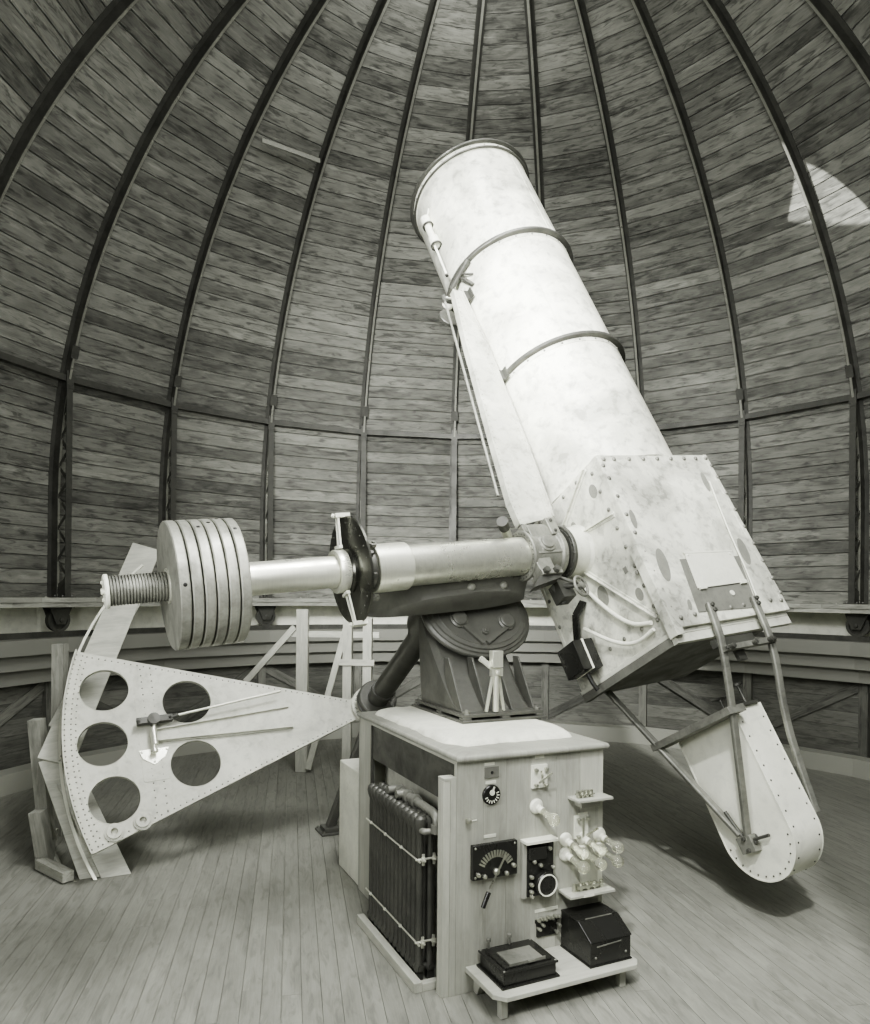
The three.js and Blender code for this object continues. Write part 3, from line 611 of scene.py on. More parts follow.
def make_finishes():
    """All the finishes, by the names the pieces ask for, each with its slot."""
    c = bpy.context.scene.observatory_colours
    FINISH.update({
        "lining": (wood("Dome lining boards", 0.05, c.lining, 0.65, 0.35, 0.4, 0.5, 0.72, 0.5),
            "dome_boards"),
        "drum": (wood("Drum boards", 0.06, c.drum, 0.4, 0.35, 0.3, 0.5, 0.75, 0.25), "drum_boards"),
        "outside": (wood("Outside boards", 0.14, 0.32, 0.2, 0.3, 0.4, 0.25, 0.8), "drum_boards"),
        "curb": (wood("Curb and sill timber", 0.2, 0.5, 0.35, 0.45, 0.4, 0.5, 0.7, 0.3), "curb_timber"),
        "pale": (wood("Pale planed timber", 0.3, c.pale_timber, 0.15, 0.4, 0.4, 0.3, 0.6), "pale_timber"),
        "floor": (wood("Floor planks", 0.16, c.floor, 0.3, 0.35, 0.4, 0.14, 0.5, 0.1), "floor_boards"),
        "cabinet": (wood("Cabinet boards", 0.26, c.cabinet * 0.85, 0.12, 0.35, 0.35, 0.6, 0.5),
            "cabinet_wood"),
        "arch": (wood("Slit timber", 0.09, 0.28, 0.4, 0.4, 0.5, 0.3, 0.75, 0.2), "curb_timber"),
        "roof": (painted("Roof sheet", 0.5, 0.28, 0.5, 0.5, 0.8), "roof_sheet"),
        # The skirt is raised to near white: partly its own pale paint, partly painted daylight in the gap
        # under the sill.
        "skirt": (painted("Skirt paint", 0.9, 0.6, 0.5), "pale_paint"),
        "tube": (painted("Tube paint", c.paint, 0.3, 0.42, 0.75), "pale_paint"),
        "box": (painted("Mirror box paint", c.paint * 0.95, 0.25, 0.45, 0.75, 1.3), "pale_paint"),
        "girder": (painted("Girder paint", 0.5, 0.22, 0.45, 0.7, 1.2), "pale_paint"),
        "case": (painted("Plate case paint", c.paint, 0.4, 0.5, 0.35), "pale_paint"),
        "sector": (painted("Sector paint", 0.62, 0.3, 0.5, 0.45, 1.4), "pale_paint"),
        "iron": (metal("Structural iron", 0.2, 0.1, 0.5, 0.2, 0.6), "iron"),
        "dark_iron": (metal("Dark iron", 0.1, 0.04, 0.42, 0.4, 0.6), "dark_iron"),
        "casting": (metal("Painted casting", 0.12, 0.055, 0.34, 0.1), "dark_casting"),
        "rod_iron": (metal("Worn iron bars", 0.26, 0.1, 0.45, 0.4, 0.7), "iron"),
        "steel": (metal("Turned steel", 0.78, 0.5, 0.32, 0.6, 0.4, 0.05), "steel"),
        "sleeve": (metal("Worn sleeve", 0.74, 0.4, 0.3, 0.75, 0.7, 0.04), "steel"),
        "wheel": (metal("Blackened steel", 0.11, 0.05, 0.3, 0.85, 0.5, 0.05), "dark_iron"),
        "discs": (metal("Cast discs", 0.42, 0.2, 0.4, 0.4, 0.8, 0.05), "iron"),
        "lacquer": (metal("Black lacquer", 0.02, 0.012, 0.22, 0.0), "black_lacquer"),
        "brass": (metal("Lacquered brass", 0.6, 0.35, 0.28, 0.9, 0.4), "steel"),
        "white": (painted("White enamel", 0.74, 0.5, 0.35, 0.3, 3.0), "pale_paint"),
        "concrete": (stony("Concrete", 0.6, 0.36), "concrete"),
        # Lighter iron for the rib stay, and for the painted highlight along the ribs' inner faces.
        "edge": (metal("Rubbed iron edge", 0.42, 0.2, 0.32, 0.6, 0.6), "iron"),
        "grey": (painted("Grey paint", 0.2, 0.11, 0.4, 0.5, 2.0), "iron"),
        "spot": (painted("Rubbed spots", 0.24, 0.14, 0.5, 0.4, 6.0), "pale_paint"),
        "head": (metal("Worn casting", 0.3, 0.12, 0.36, 0.45, 0.7), "dark_casting"),
        "plaster": (stony("White plaster", 0.8, 0.6), "concrete"),
        "stripe": (painted("Scale face", 0.72, 0.5, 0.4, 0.25, 3.0), "pale_paint"),
        "glass": (glass("Lamp glass"), "pale_paint"),
    })


# Dome shell

def meridian(radius, s):
    """Radius, height and outward normal at a length s up the wall from the sill: upright to the
    arc's centre height, then round the arc, where s less the upright part is radius times angle."""
    s = np.asarray(s, float)
    turn = np.clip((s - WALL) / radius, 0, np.pi / 2)
    r = radius * np.cos(turn)
    z = np.where(turn > 0, ARC_Z + radius * np.sin(turn), SILL_TOP + s)
    return r, z, np.cos(turn), np.sin(turn)


def bearing(angle):
    """The unit direction at an angle from -Y towards +X."""
    return np.stack([np.sin(angle), -np.cos(angle)], axis=-1)


def shell_boards(pitch, gap, low, high, s_start, s_end, trim=1.5, uneven=1.0):
    """Boards between the ribs: for each row and bay a body between two heights of the meridian
    and two rib bearings, from depth low to depth high along the wall's normal."""
    rows = np.arange(s_start, s_end - 1, pitch)
    bays = (0.5 + np.arange(BAYS)) * BAY
    s = cols(rows, np.minimum(rows + pitch, s_end) - gap)
    r, z, nr, nz = meridian(SHELL_R, s)
    grid = (len(rows), BAYS)
    depth = np.stack([low + rng.uniform(-uneven, uneven, grid), np.full(grid, float(high))], axis=-1)
    corners = np.zeros((*grid, 8, 3))
    for i, (a, up, out) in enumerate(np.ndindex(2, 2, 2)):
        radius = r[:, up][:, None] + nr[:, up][:, None] * depth[:, :, out]
        height = z[:, up][:, None] + nz[:, up][:, None] * depth[:, :, out]
        angle = bays[None] + a * BAY + (1 - 2 * a) * trim / np.maximum(radius, 50)
        corners[:, :, i, :2] = radius[..., None] * bearing(angle)
        corners[:, :, i, 2] = height
    return hexes(corners)


def carve(piece, planes, margin=0.7):
    """Cuts away what lies inside every plane (point, outward normal) and closes the cut ends."""
    work = bmesh.new()
    work.from_mesh(piece.data)
    planes = [(np.asarray(p, float) / 1000, np.asarray(n, float)) for p, n in planes]
    for i, (point, normal) in enumerate(planes):
        faces = list(work.faces)
        centres = np.array([f.calc_center_median()[:] for f in faces])
        near = np.ones(len(faces), bool)
        for k, (p, n) in enumerate(planes):
            if k != i:
                near &= (centres - p) @ n < margin
        chosen = [f for f, yes in zip(faces, near) if yes]
        edges = {e for f in chosen for e in f.edges}
        verts = {v for f in chosen for v in f.verts}
        bmesh.ops.bisect_plane(work, geom=[*verts, *edges, *chosen], dist=1e-6, plane_co=point,
            plane_no=normal)
    faces = list(work.faces)
    centres = np.array([f.calc_center_median()[:] for f in faces])
    gone = np.ones(len(faces), bool)
    for point, normal in planes:
        gone &= (centres - point) @ normal < 1e-6
    bmesh.ops.delete(work, geom=[f for f, yes in zip(faces, gone) if yes], context="FACES")
    open_edges = [e for e in work.edges if e.is_boundary]
    if open_edges:
        bmesh.ops.holes_fill(work, edges=open_edges, sides=0)
    bmesh.ops.recalc_face_normals(work, faces=work.faces)
    work.to_mesh(piece.data)
    work.free()


def slit_planes():
    """The slit's two sides and its far end in the CAD frame, with normals out of the slit."""
    axes = DOME[1]
    return [(axes[0] * (SLIT_EDGE + 0.3), axes[0]), (-axes[0] * (SLIT_EDGE + 0.3), -axes[0]),
        (axes[1] * (SLIT_END + 0.3), axes[1])]


WALL_END = WALL + SHELL_R * math.acos(240 / SHELL_R)
ALL_SHELL = [f"shell_panel_{i}" for i in range(1, 6)]
ALL_RIBS = [f"rib_frame_{i}" for i in range(1, 6)]


def one_rib():
    """A rib at the front in the plane x = 0: T arch, upright inner post, lacing bars between
    them at a steady slope, gussets, a splice plate and their rivets."""
    s = np.concatenate([np.linspace(0, WALL, 4)[:-1], np.linspace(WALL, WALL + RIB_R * RIB_TURN, 60)])
    r, z, _, _ = meridian(RIB_R, s)
    path = cols(0, -r, z)
    tee = [[-15, 6], [15, 6], [15, -2], [4, -2], [4, -90], [44, -90], [44, -98], [-44, -98], [-44, -90],
        [-4, -90], [-4, -2], [-15, -2]]
    parts = [sweep(path, tee, X)]
    post_tee = [[-32, 6], [32, 6], [32, -2], [4, -2], [4, -34], [-4, -34], [-4, -2], [-32, -2]]
    post_path = np.array([[0, -POST_R, SILL_TOP + 1], [0, -POST_R, PURLIN_Z + 70.0]])
    parts.append(sweep(post_path, post_tee, X))
    heights = [PURLIN_Z - 250.0]
    while heights[-1] > SILL_TOP + 110:
        top = heights[-1]
        rise = max(top - ARC_Z, 0)
        space = math.sqrt(RIB_R ** 2 - rise ** 2) - POST_R
        heights.append(top - 62 - 0.62 * space)
    heights = np.array(heights)
    rise = np.maximum(heights - ARC_Z, 0)
    rib_y = -np.sqrt(RIB_R ** 2 - rise ** 2) - 6
    on_post = np.arange(len(heights)) % 2 == 0
    y = np.where(on_post, -POST_R - 14.0, rib_y)
    nodes = cols(0, y, heights)
    for side in (7, -7):
        starts, ends = nodes[:-1] + [side, 0, 0], nodes[1:] + [side, 0, 0]
        chosen = np.arange(len(starts)) % 2 == (0 if side > 0 else 1)
        parts.append(bars(starts[chosen], ends[chosen], 5, 28, np.cross(X, ends[chosen] - starts[chosen])))
    parts += [studs(nodes + [side * 9.5, 0, 0], [side, 0, 0], 9, 6) for side in (-1, 1)]
    top = [[POST_R - 2, PURLIN_Z - 270], [POST_R + 85, PURLIN_Z - 270], [POST_R + 60, PURLIN_Z + 60],
        [POST_R - 2, PURLIN_Z + 60]]
    low = [[POST_R - 2, SILL_TOP + 2], [RIB_R + 20, SILL_TOP + 2], [RIB_R + 20, SILL_TOP + 120],
        [POST_R - 2, SILL_TOP + 200]]
    lean = [[0, -1, 0], [0, 0, 1], [-1, 0, 0]]
    parts += [plate(outline, 9, axes=lean, offset=(4.5, 0, 0)) for outline in (top, low)]
    rivets = [[POST_R + 18, PURLIN_Z + d] for d in (-240, -180, -120, -60, 0, 40)]
    rivets += [[POST_R + 66, PURLIN_Z + d] for d in (-240, -190)]
    rivets += [[POST_R + 16, SILL_TOP + 40], [POST_R + 16, SILL_TOP + 140], [RIB_R - 4, SILL_TOP + 40],
        [RIB_R - 4, SILL_TOP + 95]]
    at = np.array([[0, -a, b] for a, b in rivets])
    parts += [studs(at + [side * 4.5, 0, 0], [side, 0, 0], 9, 7) for side in (-1, 1)]
    parts.append(blocks([-38, -POST_R + 6, PURLIN_Z - 100], [38, -POST_R + 12, PURLIN_Z - 32]))
    face = np.array([[-22, -POST_R + 12, PURLIN_Z - 66], [22, -POST_R + 12, PURLIN_Z - 66]])
    parts.append(studs(face, Y, 9, 6))
    splice_s = np.array([2300.0, 2420.0])
    sr, sz, snr, snz = meridian(RIB_R, splice_s)
    mid = cols(0, -(sr - 9 * snr), sz - 9 * snz)
    parts.append(bars(mid[:1], mid[1:], 76, 6, [[0, -snr[0], snz[0]]]))
    on = np.concatenate([mid + [-24, 0, 0], mid + [24, 0, 0]]) + np.array([0, snr[0], -snz[0]]) * 3
    parts.append(studs(on, [0, snr[0], -snz[0]], 9, 6))
    foot = blocks([-70, -RIB_R - 20, SILL_TOP + 1], [70, -POST_R + 30, SILL_TOP + 11])
    bolts = np.array([[x, y, SILL_TOP + 11] for x in (-50, 50) for y in (-4570, -4460)])
    parts += [foot, studs(bolts, Z, 12, 14, "bolt")]
    return merge(*parts)


class OBSERVATORY_OT_lining(bpy.types.Operator):
    """Inner boards between the ribs and the outer sheets with their standing seams"""

    bl_idname = "observatory.lining"
    bl_label = "Dome lining and roof"

    def execute(self, context):
        sizes = context.scene.observatory_sizes
        pitch = sizes.lining_board * 1000
        boards = shell_boards(pitch, sizes.board_gap * 1000, 0.5, 20, 0, WALL_END)
        lining = add("dome_lining", boards, DOME, "lining", ALL_SHELL)
        carve(lining, slit_planes())
        fine = shell_boards(235, 0, 46, 54, 0, WALL_END - 10, 0, 0.1)
        laps = shell_boards(1175, 1140, 50, 58, 1175, WALL_END - 200, 0, 0.1)
        parts = [fine, laps]
        s = np.concatenate([[0, 500, 940], np.linspace(960, WALL_END - 20, 54)])
        for k in range(BAYS):
            angle = (k + 0.5) * BAY
            r, z, nr, nz = meridian(SHELL_R, s)
            way = bearing(angle)
            path = cols((r + 54 * nr)[:, None] * way, z + 54 * nz)
            parts.append(sweep(path, [[-9, 2], [9, 2], [6, -24], [-6, -24]],
                [math.cos(angle), math.sin(angle), 0]))
        roof = add("dome_roof", parts, DOME, "roof")
        carve(roof, slit_planes())
        return DONE


class OBSERVATORY_OT_ribs(bpy.types.Operator):
    """Iron ribs with their laced posts, and the purlin that joins them"""

    bl_idname = "observatory.ribs"
    bl_label = "Ribs and purlin"

    def execute(self, context):
        rib = one_rib()
        angles = (np.arange(1, BAYS - 1) + 0.5) * BAY
        axes = np.stack([turn_z(a) for a in angles])
        ribs = repeated(rib, np.zeros((len(angles), 3)), axes)
        corner = np.arange(BAYS) * BAY + BAY / 2
        near = POST_R + 18
        path = cols(near * bearing(corner), PURLIN_Z)
        angle_iron = [[-30, 0], [30, 0], [30, 7], [-23, 7], [-23, 66], [-30, 66]]
        purlin = sweep(path, angle_iron, Z, closed_along=True)
        made = add("dome_ribs", [ribs, purlin], DOME, "dark_iron", ALL_RIBS, 35)
        carve(made, slit_planes())
        # A lighter iron strip along each rib's inner face: a painted highlight where light falls on the
        # flange.
        s = np.concatenate([[0, 500, 940], np.linspace(WALL, WALL + RIB_R * RIB_TURN, 60)])
        r, z, *_ = meridian(RIB_R - 6, s)
        path = cols(0, -r, z)
        edge = sweep(path, [[-11, 2.2], [11, 2.2], [11, 0.2], [-11, 0.2]], X)
        bright = add("rib_edges", repeated(edge, np.zeros((len(angles), 3)), axes), DOME, "edge", smooth=35)
        carve(bright, slit_planes())
        stay = bars([-2163, 2093, 6370], [-1663, 2473, 6396], 46, 14, Y)
        add("rib_stay", stay, (*WORLD[:2], "dome"), "edge", bevel=1)
        return DONE


class OBSERVATORY_OT_sill(bpy.types.Operator):
    """Timber sill ring on its wheel trucks"""

    bl_idname = "observatory.sill"
    bl_label = "Sill ring and trucks"

    def execute(self, context):
        layers = []
        for low, high, start, inner in ((SILL_Z, 1893, 0.0, 4436), (1895, SILL_TOP, 0.5, 4424)):
            corners = np.zeros((BAYS * 2, 8, 3))
            at = (np.arange(BAYS * 2) + start) * BAY / 2
            for i, (a, out, up) in enumerate(np.ndindex(2, 2, 2)):
                way = bearing(at + a * BAY / 2 * 0.998)
                corners[:, i, :2] = (SHELL_OUT - 25 if out else inner) * way
                corners[:, i, 2] = high if up else low
            layers.append(hexes(corners))
        bolts_at = np.arange(BAYS * 2) * BAY / 2 + 0.04
        points = cols(4520 * bearing(bolts_at), SILL_TOP)
        layers.append(studs(points, Z, 13, 14, "nut"))
        add("sill_timbers", layers, DOME, "curb", ["sill_ring"])
        axle_z = 1615.3 + 108
        wheel = revolve([[20, -32], [42, -32], [42, -12], [86, -9], [90, -30], [108, -30], [108, 22],
            [118, 22], [118, 30], [90, 30], [86, 9], [42, 12], [42, 32], [20, 32]], 40, axis=1)
        axle = revolve([[0, -74], [14, -74], [19, -66], [19, 66], [14, 74], [0, 74]], 16, axis=1)
        cheek = [[-120, 132], [-46, -40], [46, -40], [120, 132]]
        sides = [plate(cheek, 12, axes=UPRIGHT_X, offset=(0, y, 0)) for y in (-44, 56)]
        top = blocks([-140, -70, 118], [140, 70, 132])
        nuts = studs([[0, -66, 0], [0, 66, 0]], [[0, -1, 0], [0, 1, 0]], 22, 16, "nut")
        truck = moved(merge(wheel, axle, *sides, top, nuts), (0, -RIB_R, axle_z))
        trucks = repeated(truck, np.zeros((12, 3)), np.stack([turn_z(BAY / 2 + a) for a in turns(12)]))
        trucks["v"][:, 2] = np.minimum(trucks["v"][:, 2], SILL_Z)
        add("wheel_trucks", trucks, DOME, "dark_iron", smooth=35)
        return DONE


class OBSERVATORY_OT_slit(bpy.types.Operator):
    """Slit arches, lintel and the two open shutters"""

    bl_idname = "observatory.slit"
    bl_label = "Slit and shutters"

    def execute(self, context):
        def over(radius, low, back, steps=56):
            end = math.pi / 2 + math.asin(back / radius)
            turn = np.linspace(0, end, steps)
            bow = cols(0, -radius * np.cos(turn), ARC_Z + radius * np.sin(turn))
            return np.concatenate([[[0, -radius, low]], bow])

        arches = []
        for side in (-1, 1):
            for x, inner, outer in ((852, 4500, 4860), (871, 4520, 4850), (890, 4500, 4860)):
                path = over((inner + outer) / 2, SILL_TOP + 1, 900)
                half = (outer - inner) / 2
                leaf = sweep(path, strip(9, half), X)
                arches.append(moved(leaf, (side * (x + 9), 0, 0)))
        add("slit_arches", arches, DOME, "arch", ["slit_arch_right", "slit_arch_left"])
        z_low, z_high = ARC_Z + 4409, ARC_Z + 4775
        beam = blocks([[-905, 901, z_low], [-905, 931, z_low + 6]],
            [[905, 929, z_high], [905, 959, z_high - 8]])
        add("slit_head", beam, DOME, "arch", ["slit_lintel"], bevel=3)
        for side, name in ((1, "right"), (-1, "left")):
            parts = []
            path = over(4919, 2010, 1040)
            width = 878
            parts.append(moved(sweep(path, [[-width / 2, -6], [width / 2, -6], [width / 2, 2],
                [-width / 2, 2]], X), (side * (931 + width / 2), 0, 0)))
            parts += [moved(sweep(over(4912, 2005, 1045), [[-20, -3], [20, -3], [20, 12], [-20, 12]], X),
                (side * x, 0, 0)) for x in (950, 1205, 1500, 1790)]
            turn = np.linspace(0.08, 1.66, 13)
            rows = cols(0, -4912 * np.cos(turn), ARC_Z + 4912 * np.sin(turn))
            inward = cols(0, np.cos(turn), -np.sin(turn))
            parts.append(bars(rows + [side * 932, 0, 0], rows + [side * 1808, 0, 0], 50, 14, inward))
            add(f"shutter_{name}_leaf", parts, DOME, "roof", [f"shutter_{name}"])
        return DONE


class OBSERVATORY_OT_floor(bpy.types.Operator):
    """Slab and floor planks, cut round the pier"""

    bl_idname = "observatory.floor"
    bl_label = "Floor"

    def execute(self, context):
        sizes = context.scene.observatory_sizes
        width = sizes.floor_board * 1000
        slab = revolve([[4698, 0], [4698, 174], [0, 174], [0, 0]], BAYS, BAY / 2)
        rows = np.arange(-4640, 4640, width)
        reach = np.sqrt(np.maximum(4668.0 ** 2 - np.maximum(np.abs(rows), np.abs(rows + width)) ** 2, 0))
        rows, reach = rows[reach > 200], reach[reach > 200]
        lows, highs = [], []
        for y, far in zip(rows, reach):
            cuts = np.sort(rng.uniform(-far, far, 2))
            cuts = np.concatenate([[-far], cuts[np.abs(cuts) < far - 500], [far]])
            for a, b in zip(cuts[:-1], cuts[1:]):
                lows.append([a + 0.6, y, 176])
                highs.append([b - 0.6, y + width - 1.8, FLOOR_TOP - rng.uniform(0, 0.9)])
        planks = moved(blocks(lows, highs), axes=turn_z(math.radians(101) - DOME_TURN))
        origin, axes, _ = MOUNT
        west, east, south, north = WELL
        planes = [(origin + axes[0] * west, -axes[0]), (origin + axes[0] * east, axes[0]),
            (origin + axes[1] * south, -axes[1]), (origin + axes[1] * north, axes[1])]
        base = add("floor_slab", slab, BUILDING, "concrete", ["floor"], weld=1e-4)
        boards = add("floor_planks", planks, BUILDING, "floor")
        for piece in (base, boards):
            carve(piece, planes, 20)
        return DONE


# Drum

def drum_boards(low, high, pitch, inner, outer, lap=0.0):
    """Horizontal boards on the 24 sides between two heights: a body for each row and bay between
    the bearings of its corners; a lap leans each board outwards at its foot."""
    rows = np.arange(low, high - 20, pitch)
    bays = (0.5 + np.arange(BAYS)) * BAY
    corners = np.zeros((len(rows), BAYS, 8, 3))
    for i, (a, up, out) in enumerate(np.ndindex(2, 2, 2)):
        radius = (outer if out else inner) + (0 if up else lap)
        angle = bays + a * BAY + (1 - 2 * a) * 0.0004
        corners[:, :, i, :2] = radius * bearing(angle)[None]
        corners[:, :, i, 2] = (np.minimum(rows + pitch, high) - 2.5 if up else rows)[:, None]
    return hexes(corners)


def door_planes(half, bottom, top):
    """The doorway's sides, sill and head in the CAD frame, with normals out of the opening."""
    axes = DOOR[1]
    return [(axes[0] * half, axes[0]), (-axes[0] * half, -axes[0]), (axes[1] * -3000, axes[1]),
        (Z * top, Z), (Z * bottom, -Z)]


class OBSERVATORY_OT_drum(bpy.types.Operator):
    """Low drum wall: inner boards on posts and braces, outside boards, and the door"""

    bl_idname = "observatory.drum"
    bl_label = "Drum wall and door"

    def execute(self, context):
        inner = drum_boards(202, DRUM_TOP, 152, 4752, 4770)
        wall = add("drum_inner_boards", inner, BUILDING, "drum", [f"drum_wall_{i}" for i in range(1, 5)])
        outer = drum_boards(2, DRUM_TOP, 118, 4815, 4828, 10)
        cladding = add("drum_outside_boards", outer, BUILDING, "outside")
        at = bearing((0.5 + np.arange(BAYS)) * BAY)
        side = cols(-at[:, 1], at[:, 0])
        corners = np.zeros((BAYS, 8, 3))
        for i, (a, out, up) in enumerate(np.ndindex(2, 2, 2)):
            corners[:, i, :2] = (4812 if out else 4690) * at + (2 * a - 1) * 46 * side
            corners[:, i, 2] = 1428 if up else 201
        posts = hexes(corners)
        starts, ends = [], []
        for k in range(BAYS):
            if k == 1:
                continue
            a, b = ((k + 0.5) * BAY, (k + 1.5) * BAY) if k % 2 else ((k + 1.5) * BAY, (k + 0.5) * BAY)
            starts.append([*(4738 * bearing(a)), 420])
            ends.append([*(4738 * bearing(b)), 1120])
        starts, ends = np.array(starts), np.array(ends)
        braces = bars(starts, ends, 96, 26, (starts + ends) * [1, 1, 0])
        frame_ = add("drum_posts", [posts, braces], BUILDING, "drum")
        for piece in (wall, cladding, frame_):
            carve(piece, door_planes(404, 199, 1700), 1.0)
        y = -SHELL_OUT * math.cos(BAY / 2)
        half = DOOR_HALF
        edges = np.linspace(-half, half, 7)
        planks = blocks(cols(edges[:-1] + 0.8, y - 20, 208), cols(edges[1:] - 0.8, y + 2, 1418))
        ledge_z = np.array([320, 760, 1200.0])
        ledges = blocks(cols(-half + 20, y + 2.2, ledge_z), cols(half - 20, y + 30, ledge_z + 110))
        braces = bars([[-half + 60, y + 14, 430], [-half + 60, y + 14, 870]],
            [[half - 60, y + 14, 760], [half - 60, y + 14, 1200]], 24, 100, [[-0.4, 0, 1]])
        add("door_leaf", [planks, ledges, braces], DOOR, "drum", ["door"], bevel=1.5)
        straps = blocks([[-half, y + 30.2, 360], [-half, y + 30.2, 1240]],
            [[half - 300, y + 35, 400], [half - 300, y + 35, 1280]])
        pins = studs([[x, y + 35, z] for z in (380, 1260) for x in (-360, -250, -120, 60)], Y, 9, 6)
        latch = merge(blocks([half - 150, y + 30.2, 770], [half - 40, y + 38, 830]),
            moved(ring(26, 34, -4, 4, 24), (half - 95, y + 44, 760), UPRIGHT_X))
        add("door_iron", [straps, pins, latch], DOOR, "dark_iron", smooth=35)
        return DONE


# Telescope

def bar_profile(width, depth, corner=5.0):
    """A rectangle with cut corners, for a bar's section."""
    a, b, c = width / 2, depth / 2, corner
    return [[a - c, -b], [a, c - b], [a, b - c], [a - c, b], [c - a, b], [-a, b - c], [-a, c - b],
        [c - a, -b]]


def around_y(count, start=0.0):
    """Unit directions round the tube's axis."""
    turn = start + turns(count)
    return cols(np.sin(turn), 0, np.cos(turn))


def around_x(count):
    """Unit directions round the declination axis."""
    turn = turns(count)
    return cols(0, np.cos(turn), np.sin(turn))


class OBSERVATORY_OT_tube(bpy.types.Operator):
    """Three lengths of tube with riveted bands, dark flanges, bolts and small fittings"""

    bl_idname = "observatory.tube"
    bl_label = "Tube"

    def execute(self, context):
        shells, rings, heads = [], [], []
        for i in range(3):
            low, high = TUBE_JOINTS[i] + 0.3, TUBE_JOINTS[i + 1] - 0.3
            foot = low + (0 if i == 0 else 11.2)
            top = high - (60 if i == 2 else 42)
            shells.append(revolve([[461, foot], [475, foot], [475, top], [479, top + 1], [479, high - 14.2],
                [461, high - 14.2]], 128, axis=1))
            rings.append(revolve([[461, high - 14], [512, high - 14], [515, high - 10], [515, high],
                [461, high]], 128, axis=1))
            if i:
                rings.append(revolve([[461, low], [515, low], [515, low + 8], [512, low + 11],
                    [461, low + 11]], 128, axis=1))
            way = around_y(24, 0.08 * i)
            heads.append(studs(479 * way + [0, high - 27, 0], way, 8, 6))
            seam = np.linspace(low + 60, high - 90, 16)
            angle = math.radians(-62 + 40 * i)
            side = np.array([math.sin(angle), 0, math.cos(angle)])
            across = np.array([math.cos(angle), 0, -math.sin(angle)])
            shells.append(bars(475.5 * side + [0, low + 30, 0], 475.5 * side + [0, high - 60, 0], 64, 3,
                side))
            pins = [475.5 * side + across * d + [0, y, 0] for y in seam for d in (-20, 20)]
            shells.append(studs(pins, side, 5, 4))
        high = TUBE_JOINTS[3]
        shells.append(ring(479.2, 487, high - 49, high - 13, 128, 1))
        rings.append(revolve([[479.2, high - 60], [494, high - 62], [498, high - 55], [494, high - 50],
            [479.2, high - 50]], 128, axis=1))
        way = around_y(26)
        heads.append(studs(487 * way + [0, high - 31, 0], way, 7, 5))
        liner = ring(457, 460.8, 384, high - 2, 96, 1)
        add("tube_shells", shells, TUBE, "tube", ["tube_lower", "tube_middle", "tube_upper"], 35)
        add("tube_rings", rings, TUBE, "dark_iron", smooth=35)
        add("tube_bolts", heads, TUBE, "rod_iron", smooth=35)
        add("tube_liner", liner, TUBE, "lacquer", smooth=35)
        white, dark = [], []
        for y, x in ((3010, -512), (2795, -512)):
            white.append(turned([[0, -38], [30, -38], [40, -30], [40, 34], [30, 40], [0, 40]], 28,
                (x, y, -30), 1))
            dark.append(turned([[36, -52], [44, -50], [44, -38], [36, -38]], 28, (x, y, -30), 1))
            white.append(disc(20, 0, 52, 20, (x + 2, y, -30), 0))
        white += [pipe([[-512, 2975, -30], [-516, 2900, -34], [-512, 2835, -30]], 27, 20),
            rod([-524, 2760, -34], [-530, 2440, -34], 9), rod([-500, 3050, -10], [-474, 3120, 10], 7)]
        dark.append(disc(12, -8, 8, 16, (-530, 2436, -34), 1))
        white.append(turned([[0, 0], [36, 0], [42, 8], [42, 60], [0, 60]], 32, (-478, 2330, -226)))
        dark += [rod([-486, 2352, 150], [-540, 2292, -30], 19, 24),
            turned([[0, 0], [76, 0], [80, 4], [80, 28], [76, 32], [0, 32]], 40, (-512, 2196, -236)),
            rod([-478, 2361, 175], [-488, 2350, 145], 24, 24),
            bars([-500, 2300, 70], [-470, 2180, 120], 40, 12),
            pipe([[-505, 2318, 90], [-486, 2270, 130], [-458, 2254, 150]], 8, 10)]
        add("tube_fittings", white, TUBE, "white", smooth=35)
        add("tube_clamps", dark, TUBE, "dark_iron", smooth=35)
        return DONE


